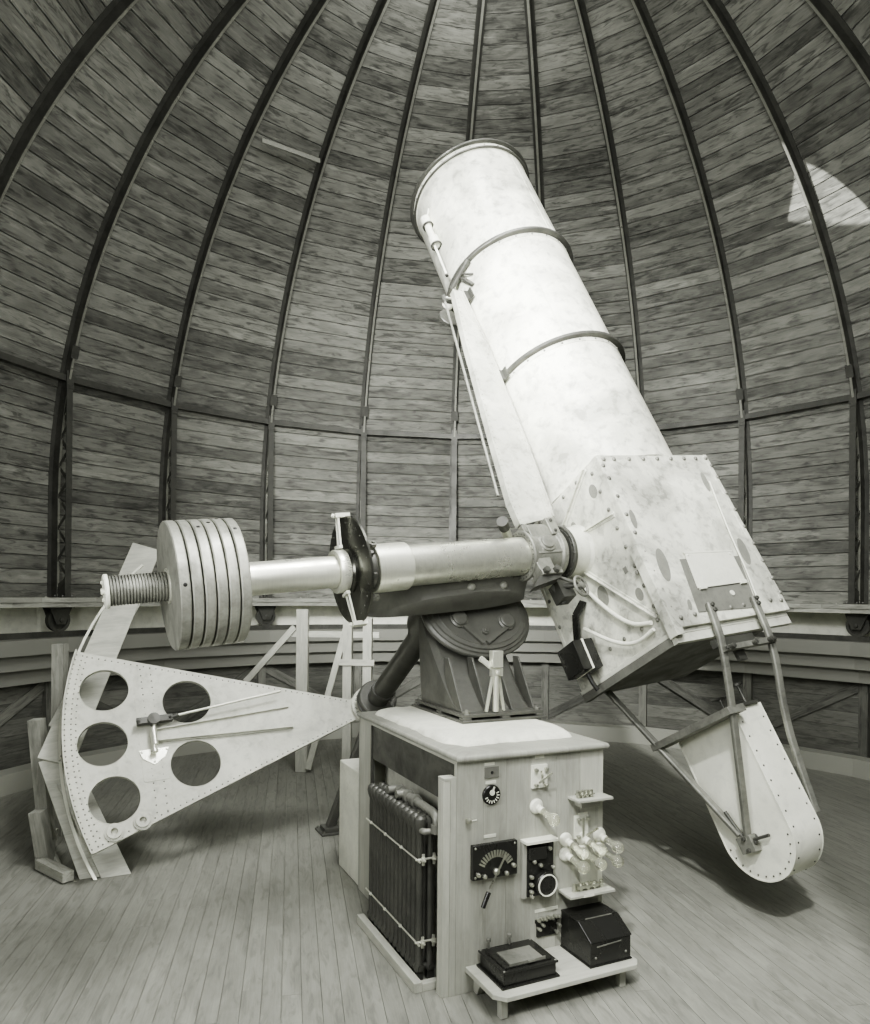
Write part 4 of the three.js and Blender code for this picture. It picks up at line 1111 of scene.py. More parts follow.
class OBSERVATORY_OT_mirror_box(bpy.types.Operator):
    """Plated box below the tube with its rivets, stays, covers and the mirror inside"""

    bl_idname = "observatory.mirror_box"
    bl_label = "Mirror box"

    def execute(self, context):
        half, low, top, t = BOX_HALF, BOX_LOW, TUBE_JOINTS[0], 6.0
        square = strip(half, half)
        flat = [[1, 0, 0], [0, 0, -1], [0, 1, 0]]
        plates = [plate(square, t, [arc(461, 0, 355, 71)], flat, (0, top - t, 0)),
            plate(square, t, (), flat, (0, low, 0)), box(-half, half, low + t, top - t, half - t, half),
            box(-half, half, low + t, top - t, -half, t - half),
            box(-half, t - half, low + t, top - t, t - half, half - t),
            box(half - t, half, low + t, top - t, t - half, half - t)]
        for sx in (-1, 1):
            plates += [box(*sorted((sx * half, sx * (half - 30))), low, top, half, half + 3.2),
                box(*sorted((sx * half, sx * (half + 3.2))), low, top, half - 30, half),
                box(*sorted((sx * half, sx * (half - 30))), low, top, -half - 3.2, -half),
                box(*sorted((sx * half, sx * (half + 3.2))), low, top, -half, 30 - half)]
        plates += [box(-500, -443, -803, -236, half + 3.4, half + 12),
            box(-500, -486, -803, -236, half - 50, half + 3.2)]
        add("box_plates", plates, TUBE, "box", ["mirror_box"], bevel=1.5)
        stays = []
        for (y0, z0), (y1, z1) in (((372, 345), (200, -6)), ((8, 408), (62, 130)),
                ((-60, -70), (-651, 374))):
            a, b = np.array([[-half, y0, z0]]), np.array([[-half, y1, z1]])
            stays += [bars(a - [3, 0, 0], b - [3, 0, 0], 34, 7, -X),
                bars(a - [12, 0, 0], b - [12, 0, 0], 7, 22, -X)]
        for y0, z0, y1, z1 in ((-372, 300, -70, 60), (310, -330, 60, -60), (-640, -330, -60, -90)):
            a, b = np.array([[half, y0, z0]]), np.array([[half, y1, z1]])
            stays += [bars(a + [3, 0, 0], b + [3, 0, 0], 34, 7, X),
                bars(a + [12, 0, 0], b + [12, 0, 0], 7, 22, X)]
        add("box_stays", stays, TUBE, "box", bevel=1.2)
        front = [(x, 352) for x in (-424, -342, -222, -105, 13, 132, 247, 354, 446)]
        front += [(-451, y) for y in (305, 215, 88, -38, -161, -290, -415, -530, -640)]
        front += [(463, y) for y in (292, 203, 78, -49, -174, -299, -424, -544, -644)]
        front += [(346, -684), (436, -694), (-130, -689), (-2, -692), (106, -688), (-300, -700),
            (-410, -706)]
        left = [(y, 383) for y in (312, 183, 55, -72, -198, -326, -454, -585)] + [(-662, 366), (-653, 230)]
        left += [(-641, 71), (-640, -72), (-650, -215), (-655, -370)]
        left += [(352, z) for z in (235, 83, -64, -215, -370)] + [(y, -430)
            for y in (250, 60, -130, -320, -510)]
        front, left = np.array(front, float), np.array(left, float)
        rivets = [studs(cols(front, half + 3), Z, 14, 10, 10), studs(cols(front, -half - 3), -Z, 11, 9, 10),
            studs(cols(-half, left), -X, 14, 10, 10), studs(cols(half, left), X, 11, 9, 10)]
        add("box_rivets", rivets, TUBE, "rod_iron", smooth=40)
        spots = []
        for x, y, long_, wide, lean in ((-352, -379, 218, 80, 0.2), (346, -345, 190, 75, 0.16),
                (334, 170, 150, 46, 0.1), (-412, -70, 130, 42, 0.18), (-300, -640, 70, 30, 0.3)):
            oval = arc(0.5, 0, 345, 23) * [wide, long_] @ [[math.cos(lean), -math.sin(lean)],
                [math.sin(lean), math.cos(lean)]]
            spots.append(plate(oval, 0.5, offset=(x, y, half + 0.1)))
        for y, z, long_, wide in ((221, 330, 90, 70), (-344, 51, 130, 90), (-478, 323, 80, 60),
                (120, 60, 110, 60)):
            oval = arc(0.5, 0, 345, 23) * [long_, wide]
            spots.append(plate(oval, 0.5, (), UPRIGHT_Y, (-half - 0.6, y, z)))
        add("box_spots", spots, TUBE, "spot")
        panel = plate([[-212, -356], [275, -373], [209, -716], [-264, -692]], 4, offset=(0, 0, half + 0.4))
        latch = [bars([-half - 6, -372, 398], [-half - 6, -338, 478], 5, 22, Y),
            moved(revolve([[0, 0], [13, 0], [13, 16], [0, 20]], 16, axis=2), (-half - 6, -374, 392),
            [[0, 0, 1], [0, 1, 0], [-1, 0, 0]]), box(-half - 4, -half - 0.2, -330, -290, 290, 320)]
        add("box_panel", [panel, *latch], TUBE, "grey", bevel=1.0)
        cover = [plate([[-161, -327], [220, -346], [214, -551], [-192, -553]], 5, offset=(0, 0, half + 8)),
            plate([[-170, -316], [230, -336], [224, -346], [-164, -328]], 10, offset=(0, 0, half + 4.6))]
        cover += [box(x - 26, x + 26, y - 14, y + 10, half + 4.6, half + 18)
            for x, y in ((-150, -548), (190, -546))]
        cover += [studs([[-146, -340, half + 13], [196, -358, half + 13], [60, -610, half + 4]], Z, 7, 6),
            plate(arc(17, 0, 330, 11, (62, -606)), 5, offset=(0, 0, half + 4.6))]
        add("box_cover", cover, TUBE, "white", bevel=1.0)
        stay = pipe([[357, 167, half + 11], [291, -227, half + 11], [265, -476, half + 14],
            [222, -700, half + 14]], 5, 10)
        lead = pipe([[-half - 12, -230, -60], [-half - 16, -450, 60], [-half - 16, -610, 190],
            [-half - 16, -660, 330]], 13, 14)
        lead2 = pipe([[-half - 60, -460, -150], [-half - 34, -640, 20], [-half - 30, -720, 180],
            [-half - 22, -700, 330]], 12, 14)
        add("box_rod", stay, TUBE, "white", smooth=40)
        add("box_conduits", [lead, lead2], TUBE, "white", smooth=40)
        iron = [box(-half - 8, half, -784, -760, -half - 6, 440),
            box(-half - 8, half, -835, -786, 402, 440), box(-half + 40, half - 40, -800, -786, -half, 400),
            box(-half - 10, -half + 30, -835, -786, -half, 400)]
        add("box_lip", iron[:2], TUBE, "sector", bevel=1.5)
        add("box_sill", iron[2:], TUBE, "iron", bevel=1.5)
        dark = [box(-650, -500, -712, -522, -330, -150),
            bars([-550, -522, -240], [-530, -350, -170], 56, 16, X),
            bars([-530, -355, -170], [-474, -290, -120], 56, 16, X),
            pipe([[-560, -712, -240], [-556, -770, -240], [-540, -830, -236]], 14, 12)]
        add("switch_case", dark, TUBE, "lacquer", bevel=3)
        add("switch_strip", [box(-585, -571, -715, -519, -333, -147)], TUBE, "white", bevel=1)
        mirror = revolve([[60, -560], [440, -560], [440, -470], [250, -484], [60, -489]], 64, axis=1)
        add("primary_mirror", mirror, TUBE, "steel", smooth=30)
        return DONE


class OBSERVATORY_OT_side_beam(bpy.types.Operator):
    """Tapered channel girder beside the tube with its riveted edges and the rod along it"""

    bl_idname = "observatory.side_beam"
    bl_label = "Side beam"

    def execute(self, context):
        right = np.array([[-556, 2150], [-540, 1620], [-571, 740], [-600, 300], [-608, 215]], float)
        left = np.array([[-631, 2150], [-718, 1620], [-833, 760], [-885, 330], [-880, 170]], float)
        parts, pins = [plate([*right, *left[::-1]], 7, offset=(0, 0, 66))], []
        for line, sign in ((right, -1), (left, 1)):
            path = cols(line, 60.0)
            parts += [sweep(path, strip(26, 4), Z), sweep(path + [sign * 22, 0, 12.8], strip(3, 19), Z)]
            y = np.linspace(line[-1, 1] + 40, line[0, 1] - 40, 44)
            x = np.interp(y, line[::-1, 1], line[::-1, 0]) + sign * 22
            pins.append(studs(cols(x, y, 76.0), Z, 5.5, 5))
        slope = cols(right + [24, 0], 42.0)
        parts.append(bars(slope[:-1], slope[1:], 58, 6, (0.62, 0, 0.78)))
        add("side_girder", [*parts, *pins], TUBE, "girder", ["side_beam"])
        feet = []
        for y in (1371, 2120):
            feet += [box(-560, -500, y - 40, y + 40, 56, 74), box(-506, -494, y - 40, y + 40, 20, 110)]
        brace = rod([-690, 2110, 20], [-905, 420, 20], 9)
        ends = [disc(16, -30, 30, 16, (-690, 2110, 20), 1), box(-700, -600, 2090, 2106, 0, 40)]
        add("girder_feet", [*feet, *ends], TUBE, "dark_iron", bevel=1.5)
        add("girder_rod", brace, TUBE, "rod_iron", smooth=40)
        return DONE


class OBSERVATORY_OT_plate_holder(bpy.types.Operator):
    """Iron legs under the mirror box and the flat case with a round end between them"""

    bl_idname = "observatory.plate_holder"
    bl_label = "Plate holder"

    def execute(self, context):
        low, face, x0, x1 = BOX_LOW - 0.3, 494.3, -134.0, 100.0
        paths = [[[-301, low - 28, -440], [-159.3, -1839, -40]],
            [[-184, -655, face], [-190, -700, face], [-238, -946, face], [-159.3, -1900, -12]],
            [[186, -655, face], [180, -700, face], [150, -962, face], [140, -1380, 330],
            [123.3, -1850, 265]]]
        legs = [sweep(softened(p), bar_profile(40, 30, 6), [1, 0, 0.2]) for p in paths]
        ties = [box(-262, x0 - 0.4, -1251, -1209, -310, 362),
            box(-240, 170, -946, -914, face - 18, face + 18),
            box(x0 - 50.3, x0 - 0.4, -1940, -1850, -60, 40), box(-340, 340, low - 25, low - 1, -466, 400)]
        add("holder_bars", [*legs, *ties], TUBE, "rod_iron", ["holder_frame"], 40, 1.5)
        bolts = [[-184, -672, face + 16], [186, -672, face + 16], [-184, -706, face + 16],
            [180, -706, face + 16], [-232, -930, face + 18], [150, -930, face + 18]]
        small = [studs(bolts, Z, 13, 12, "bolt"), studs([-160, -1895, 42], Z, 14, 18, "nut"),
            studs([[x0 - 51, y, 0] for y in (-1862, -1925)], -X, 13, 14, "bolt"),
            rod([-159, -1880, 40], [-159, -1880, 150], 9), rod([-159, -1850, -30], [-170, -1700, -60], 10),
            box(-250, 60, -905, -860, face - 60, face - 22),
            box(-120, -60, -1000, -906, face - 54, face - 30)]
        small += [turned([[0, 0], [15, 0], [15, 26], [0, 30]], 16, (x, -930, face + 18))
            for x in (-200, -20, 110)]
        add("holder_bolts", small, TUBE, "dark_iron", smooth=35)
        middle, half, centre = 33.0, 244.0, -1868.0
        flat = [[0, 0, 1], [0, 1, 0], [-1, 0, 0]]

        def outline(h, drop=0.0):
            return np.array([[middle + h, -1212 - drop], *arc(h, 0, -180, 40, (middle, centre)),
                [middle - h, -1212 - drop]])

        body = [plate(outline(half - 2), x1 - x0 - 8, (), flat, (x1 - 4, 0, 0))]
        body += [plate(outline(half), 5, [outline(half - 9, 9)], flat, (x, 0, 0)) for x in (x1, x0 + 5)]
        add("plate_case", body, TUBE, "case", ["holder_case"], 30, 1.2)
        rim = outline(half - 2)
        along = np.linspace(0, 1, 26)
        step = np.concatenate([[0], np.cumsum(np.linalg.norm(np.diff(rim, axis=0), axis=1))])
        z = np.interp(along * step[-1], step, rim[:, 0])
        y = np.interp(along * step[-1], step, rim[:, 1])
        normals = unit(cols(0, np.where(y > centre, 0, y - centre), z - middle))
        screws = [studs(cols(x, y, z), normals, 6, 4) for x in (x0 + 30, x1 - 30)]
        face_at = outline(half - 30, 26)[::3]
        screws += [studs(cols(x0 - 0.2, face_at[:, 1], face_at[:, 0]), -X, 5, 3),
            studs([x0 + 4, -1868, 33], -X, 16, 10)]
        grip = [rod([-40, -1214, 140], [-40, -1120, 140], 9), rod([-120, -1118, 140], [40, -1118, 140], 9),
            rod([20, -1214, 250], [20, -1090, 250], 8), disc(26, 0, 14, 20, (20, -1090, 250), 1),
            box(-90, 60, -1212, -1196, 60, 300)]
        add("case_screws", [*screws, *grip], TUBE, "dark_iron", smooth=35)
        return DONE


def spoked_wheel(radius, hub, spokes, thickness=12.0):
    """A handwheel about Z: a round rim, spokes and a hub."""
    rim = revolve(np.array(circle(thickness / 2, 10)) + [radius - thickness / 2, 0], 36)
    turn = np.arange(spokes) * 2 * np.pi / spokes
    way = rays(turn)
    arms = bars(hub * 0.8 * way, (radius - thickness) * way, 8, 6)
    return merge(rim, arms, revolve([[0, -14], [hub, -14], [hub, 14], [hub * 0.7, 18], [0, 18]], 24))


class OBSERVATORY_OT_declination(bpy.types.Operator):
    """Declination shaft with its thread, six weights, worm wheel, sleeve, collar and head"""

    bl_idname = "observatory.declination"
    bl_label = "Declination axis"

    def execute(self, context):
        thread = np.arange(-1926, -1682, 13.5)
        groove = np.stack([cols(68.8, thread), cols(68.8, thread + 7.5), cols(61.0, thread + 9),
            cols(61.0, thread + 12)], axis=1).reshape(-1, 2)
        end = TUBE_X - BOX_HALF - 0.3
        screw = [[0, -1930], [58, -1930], *groove, [68.8, -1680.5], [0, -1680.5]]
        profile = [[0, -1680], [83, -1680], [83, -600], [84.6, -598], [84.6, 690], [0, 690]]
        add("declination_spindle", [revolve(profile, 96, axis=0)], AXLE, "steel", ["declination_shaft"], 30)
        add("shaft_thread", [revolve(screw, 96, axis=0)], AXLE, "rod_iron", smooth=30)
        cap = [revolve([[0, -1950], [72, -1950], [78, -1944], [78, -1932], [60, -1930.5], [0, -1930.5]], 48,
            axis=0), ring(0, 14, -1962, -1950.5, 16, 0),
            studs(46 * around_x(3) + [-1950, 0, 0], -X, 9, 8, "bolt")]
        add("shaft_cap", cap, AXLE, "white", smooth=35)
        flange = [revolve([[100, 605], [148, 605], [148, 611], [162, 611], [166, 615], [166, 634],
            [162, 638], [100, 638]], 96, axis=0), studs(156 * around_x(18) + [611, 0, 0], -X, 7, 8, "nut")]
        add("dark_flange", flange, AXLE, "dark_iron", smooth=30)
        saddle = revolve([[100, 638.3], [146, 638.3], [152, 646], [152, end - 20], [166, end], [100, end]],
            72, axis=0)
        add("tube_saddle", saddle, AXLE, "sector", smooth=30)
        discs, holes = [], []
        for i in range(6):
            x = FIRST_DISC + i * DISC_PITCH
            discs.append(revolve([[83.5, x], [298, x], [303, x + 5], [303, x + 41], [298, x + 46],
                [160, x + 46], [160, x + 46.6], [83.5, x + 46.6]], 120, axis=0))
        add("weight_discs", discs, AXLE, "discs", ["counterweights"], 30)
        for at, angle in ((0, 118), (2, 60), (3, 52), (4, 40), (1, -96), (0, -60), (5, 66), (3, -110)):
            c, s = math.cos(math.radians(angle)), math.sin(math.radians(angle))
            x = FIRST_DISC + at * DISC_PITCH + 23
            holes.append(studs([x, 302.6 * c, 302.6 * s], (0, c, s), 10, 1.6, 14))
        add("disc_holes", holes, AXLE, "lacquer", smooth=35)
        worm_wheel = [revolve([[84, -790], [112, -790], [120, -780], [120, -768], [278, -768], [285, -766],
            [285, -754], [278, -752], [150, -752], [136, -735], [84, -735]], 128, axis=0),
            studs(250 * around_x(24) + [-768, 0, 0], -X, 5, 4)]
        way = around_x(180)
        worm_wheel.append(bars(284 * way + [-765, 0, 0], 284 * way + [-755, 0, 0], 5, 5, way))
        add("worm_wheel", worm_wheel, AXLE, "wheel", ["declination_wheel"], 30)
        rings = [revolve([[84, x], [r, x], [r + 2, x + 4], [r + 2, x + w - 4], [r, x + w], [84, x + w]], 72,
            axis=0) for x, r, w in ((-850, 92, 16), (-830, 100, 36), (-850, 112, 56))]
        behind = [revolve([[84, -734], [110, -734], [112, -730], [112, -650], [84, -650]], 72, axis=0),
            studs([[-672, -78, 78], [-672, 30, 106]], [[0, -0.7, 0.7], [0, 0.3, 0.95]], 17, 20, "bolt")]
        add("dark_ring", behind, AXLE, "dark_iron", smooth=30)
        add("shaft_rings", rings, AXLE, "steel", smooth=30)
        brackets = []
        for angle in (25, 188):
            c, s = math.cos(math.radians(angle)), math.sin(math.radians(angle))
            out, side = np.array([0, c, s]), np.array([0, -s, c])
            a = out * 124 + [-806, 0, 0]
            b = out * 300 + [-800, 0, 0]
            brackets += [bars([a + side * 20, a - side * 20], [b + side * 12, b - side * 12], 5, 11, X),
                bars(out * 292 + [-816, 0, 0], out * 292 + [-736, 0, 0], 42, 22, out),
                bars(out * 126 + [-822, 0, 0], out * 126 + [-800, 0, 0], 64, 16, out),
                studs(out * 292 + [-822, 0, 0], -X, 12, 12, "nut")]
        add("wheel_clamps", brackets, AXLE, "white", smooth=30, bevel=2)
        sleeve = ring(85.4, 114, -440, 400, 96, 0)
        add("sleeve", sleeve, POLAR, "sleeve", ["declination_sleeve"], 30)
        collar = [revolve([[85.4, -643], [128, -643], [131, -640], [131, -446], [128, -441], [85.4, -441]],
            96, axis=0), studs([[-572, 34, 126], [-470, 34, 126], [-572, -126, 34], [-480, -126, 34]],
            [[0, 0.26, 0.96], [0, 0.26, 0.96], [0, -0.96, 0.26], [0, -0.96, 0.26]], 8, 3)]
        add("sleeve_collar", collar, POLAR, "steel", smooth=30)
        head = [revolve([[116.6, 330], [146, 330], [151, 335], [151, 350], [143, 357], [134, 366],
            [134, 401], [116.6, 401]], 72, axis=0),
            revolve([[85.4, 402], [134, 402], [134, 540], [150, 552], [150, 580], [140, 590], [85.4, 590]],
            72, axis=0), box(372, 556, -70, 128, -120, 122), box(345, 552, 96, 146, -60, 112),
            box(322, 470, -216, -176, 10, 128), box(340, 450, -180, -60, 20, 100),
            box(514, 580, 50, 172, 98, 140)]
        bosses = [turned([[0, 0], [58, 0], [58, 10], [50, 14], [42, 14], [42, 26], [22, 30], [0, 30]], 40,
            (452, -4, 120)), turned([[0, 0], [24, 0], [24, 26], [18, 34], [0, 34]], 28, (400, 146, 60), 1)]
        add("head_casting", [*head, *bosses], POLAR, "head", ["declination_housing"], 30, 5)
        nuts = [studs([[349, -196, 128], [423, -196, 128]], Z, 22, 26, "bolt"),
            studs([[371, 146, 84], [430, 146, 84], [521, 146, 84]], Y, 18, 24, "nut"),
            studs([[547, 74, 140], [547, 148, 140]], Z, 12, 12, "nut"),
            studs(134 * around_x(30) + [330, 0, 0], -X, 5, 5),
            plate([[234, -284], [439, -240], [470, -218], [300, -218]], 60, offset=(0, 0, 50)),
            rod([190, 152, 153], [240, 152, 88], 33, 28)]
        tangent = [rod([430, -190, 70], [552, -293, 104], 11, 20), box(470, 560, -330, -214, -60, 40),
            rod([500, -250, 20], [551, -293, 100], 16, 20), rod([480, -216, -20], [520, -330, -40], 26, 24)]
        add("head_nuts", [*nuts, *tangent], POLAR, "dark_iron", smooth=35)
        grip = moved(spoked_wheel(68, 22, 6, 18), (556, -312, 112),
            [[0.94, 0.2, -0.28], [-0.15, 0.97, 0.2], [0.31, -0.14, 0.94]])
        tube = rod([245, 152, 81.5], [340, 152, -42], 29, 28)
        add("head_tube", tube, POLAR, "steel", smooth=40)
        add("handwheel", grip, POLAR, "rod_iron", smooth=40)
        return DONE


def strokes(number):
    """A number's strokes as segments in a box of unit height: pairs of end points."""
    corners = {"a": ((0, 1), (0.55, 1)), "b": ((0.55, 1), (0.55, 0.5)), "c": ((0.55, 0.5), (0.55, 0)),
        "d": ((0, 0), (0.55, 0)), "e": ((0, 0.5), (0, 0)), "f": ((0, 1), (0, 0.5)),
        "g": ((0, 0.5), (0.55, 0.5))}
    lit = {"0": "abcdef", "1": "bc", "2": "abged", "3": "abgcd", "4": "fgbc", "5": "afgcd", "6": "afgedc",
        "7": "abc", "8": "abcdefg", "9": "abcdfg"}
    digits = str(number)
    out = []
    for i, digit in enumerate(digits):
        shift = 0.85 * i - 0.85 * len(digits) / 2
        for segment in lit[digit]:
            (x0, y0), (x1, y1) = corners[segment]
            out.append(((x0 + shift, y0 - 0.5), (x1 + shift, y1 - 0.5)))
    return np.array(out)


class OBSERVATORY_OT_cradle(bpy.types.Operator):
    """Boat-shaped casting that carries the declination sleeve"""

    bl_idname = "observatory.cradle"
    bl_label = "Cradle"

    def execute(self, context):
        x = np.linspace(-652, 400, 61)
        crest = np.interp(x, [-652, -540, -480, -278, 7, 250, 343, 400],
            [-192, -176, -145, -108, -86, -118, -166, -186])
        keel = np.interp(x, [-652, -234, 76, 400], [-216, -244, -256, -232])
        wide = 190 * (1 - ((x + 126) / 700) ** 8)
        section = [(80, -62), (92, -78), (46 + 0.42 * wide, 0.5 * crest - 50), (0.84 * wide, crest),
            (0.87 * wide, crest - 7), (0.95 * wide, 0.5 * (crest + keel)), (wide, keel + 10),
            (0.97 * wide, keel), (0.7 * wide, keel - 12), (0.3 * wide, keel - 16)]
        half = np.stack([cols(x, y, z) for y, z in section], axis=1)
        mirrored = half[:, ::-1] * [1, -1, 1]
        boat = skin(np.concatenate([half, mirrored], axis=1))
        saddle = [box(-430, -330, -92, 92, -150, -70), box(280, 396, -100, 100, -190, -70)]
        socket = revolve([[81, -296], [126, -296], [130, -290], [126, -240], [81, -240]], 48)
        add("cradle_casting", [boat, *saddle, socket], POLAR, "casting", ["cradle"], 32)
        bolts = [studs([[-20, -124, -92], [210, -126, -106]], (0, -0.35, 0.94), 26, 22, 20),
            studs([[-640, -140, -60], [-646, 70, 116]], [[0, -1, 0.4], [0, 0.5, 0.9]], 22, 26, "nut")]
        add("cradle_bolts", bolts, POLAR, "rod_iron", smooth=35)
        return DONE


def sector_point(radius, angle):
    """A point of the drive sector from its radius and its angle from the sector's middle."""
    angle = np.radians(180 + np.asarray(angle, float))
    return np.stack([radius * np.cos(angle), radius * np.sin(angle)], axis=-1)


class OBSERVATORY_OT_sector(bpy.types.Operator):
    """Riveted drive sector with its holes, rim, arm and clamp"""

    bl_idname = "observatory.sector"
    bl_label = "Drive sector"

    def execute(self, context):
        half, rim, low = SECTOR_HALF, SECTOR_RIM, -2005.0
        place = (CROSSING, turn_z(math.radians(SECTOR_LEAN)) @ POLAR[1], "polar_axis")
        hub = [[-160, -85], [-60, -130], [120, -130], [120, 130], [-60, 130], [-160, 85]]
        holes = [arc(r, 0, 355, 71, (-d * math.cos(math.radians(a)), d * math.sin(math.radians(a))))
            for d, r, angles in ((1913, 156, (-11.7, 0, 11.7)), (1370, 165, (-9.7, 9.7))) for a in angles]
        outline = np.concatenate([arc(rim - 10, 180 - half, 180 + half, 64), np.array(hub, float)])
        skins = [plate(outline, 24, [*holes, arc(81, 0, 345, 23)], offset=(0, 0, low))]
        lips = []
        for hole in holes:
            centre = hole.mean(axis=0)
            radius = np.linalg.norm(hole[0] - centre)
            lips.append(moved(ring(radius - 2, radius + 1.5, low - 2, low + 27, 72), (*centre, 0)))
        angle = degrees(180 - half, 180 + half, 65)
        path = (rim - 4) * rays(angle) + [0, 0, low + 20]
        band = sweep(path, strip(40, 4), Z)
        path = (rim - 34) * rays(angle) + [0, 0, low + 26]
        flange = sweep(path, strip(2.5, 29), Z)
        add("sector_plate", [*skins, *lips, band, flange], place, "sector", ["drive_sector"], 28)
        top = low + 24
        points = [cols(sector_point(r, np.linspace(-half + 0.7, half - 0.7, n)), z)
            for r, n, z in ((2098, 38, top + 4.6), (2136, 38, top + 4.6), (2070, 30, top))]
        for side in (-1, 1):
            a, b = sector_point(2040.0, side * (half - 0.35)), np.array([-190.0, -side * 92.0])
            t = np.linspace(0, 1, 44)[:, None]
            inward = np.array([0.0, side * 14.0])
            points.append(cols(a + (b - a) * t + inward, top))
        for x in (-1632, -1566):
            y = np.linspace(-520, 520, 22)
            gap = (np.abs(y) > 90)
            points.append(cols(x, y[gap], top))
        rivets = studs(np.concatenate(points), Z, 5.5, 4, 8)
        add("sector_rivets", rivets, place, "rod_iron", smooth=40)
        arm = [plate([[-1590, -46], [-1590, 44], [-1000, 78], [-640, 84], [-640, -84], [-1000, -78]], 14,
            offset=(0, 0, top + 0.4))]
        for side in (-1, 1):
            a, b = np.array([-1580, side * 40.0, top + 26]), np.array([-650, side * 80.0, top + 26])
            arm.append(bars(a, b, 7, 24))
        arm.append(plate([[-1690, 300], [-1690, -300], [-1680, -310], [-1530, -310], [-1520, -300],
            [-1520, 300]], 3, offset=(0, 0, top + 0.2)))
        bosses = [turned([[20, 0], [58, 0], [58, 12], [44, 16], [44, 30], [22, 30], [20, 26]], 40,
            (x, y, top)) for x, y in ((-1893, -598), (-1722, -560))]
        add("sector_arm", [*arm, *bosses], place, "sector", smooth=30, bevel=1)
        head = [bars([-1700, 96, top + 60], [-1470, 98, top + 60], 44, 40),
            turned([[0, -30], [34, -30], [40, -20], [40, 30], [0, 34]], 24, (-1590, 98, top + 62)),
            studs([[-1690, 96, top + 80], [-1480, 98, top + 80]], Z, 15, 20, "nut"),
            rod([-1470, 100, top + 62], [-1430, 110, top + 64], 20, 20)]
        add("sector_clamp", head, place, "dark_iron", smooth=32)
        bright = [rod([-1430, 110, top + 64], [-700, 190, top + 80], 9),
            rod([-1590, 70, top + 62], [-1610, -130, top + 54], 13),
            disc(22, -60, 60, 20, (-1600, -20, top + 58), 1),
            disc(24, -10, 10, 20, (-1608, -120, top + 54), 1),
            plate([[-1700, -90], [-1510, -90], [-1540, -150], [-1610, -200], [-1680, -150]], 6,
            offset=(0, 0, top + 5)), studs([[-1684, -104, top + 11], [-1526, -104, top + 11],
            [-1610, -180, top + 11]], Z, 8, 7)]
        add("sector_screw", bright, place, "steel", smooth=35)
        return DONE


class OBSERVATORY_OT_polar_axis(bpy.types.Operator):
    """Polar shaft with its collars and the numbered hour circle"""

    bl_idname = "observatory.polar_axis"
    bl_label = "Polar axis"

    def execute(self, context):
        end = -2025.0
        shaft = [revolve([[0, end], [76, end], [80, end + 5], [80, -191], [0, -191]], 64)]
        shaft += [revolve([[80.2, low], [r - 3, low], [r, low + 3], [r, high - 3], [r - 3, high],
            [80.2, high]], 48) for low, high, r in ((-1700, -1660, 92), (-860, -800, 96),
            (-1976, -1962, 100))]
        shaft.append(revolve([[0, end - 20], [120, end - 20], [125, end - 15], [125, end - 0.5],
            [0, end - 0.5]], 64))
        add("polar_spindle", shaft, POLAR, "casting", ["polar_shaft"], 30)
        z = -1952.0
        dial = [revolve([[92, z - 9], [164, z - 9], [166, z - 6], [166, z], [92, z]], 72)]
        add("hour_circle", dial, POLAR, "stripe", smooth=30)
        turn = turns(120)
        way = rays(turn)
        length = np.where(np.arange(120) % 5 == 0, 10.0, 5.0)[:, None]
        marks = [bars(164 * way + [0, 0, z], (164 - length) * way + [0, 0, z], 1.4, 1.2)]
        for hour in range(24):
            out = rays([hour * 2 * np.pi / 24])[0]
            side = np.cross(out, Z)
            segments = strokes(hour) * 17
            flat = segments[..., :1] * side + segments[..., 1:] * out + 138 * out + np.array([0, 0, z])
            marks.append(bars(flat[:, 0], flat[:, 1], 2.4, 1.2))
        add("hour_marks", marks, POLAR, "lacquer")
        return DONE


def on_polar(s):
    """A shape made round Z laid along the polar axis of the mount frame."""
    c, n = math.cos(LATITUDE), math.sin(LATITUDE)
    return moved(s, (0, 0, CROSSING[2]), [[1, 0, 0], [0, n, c], [0, -c, n]])


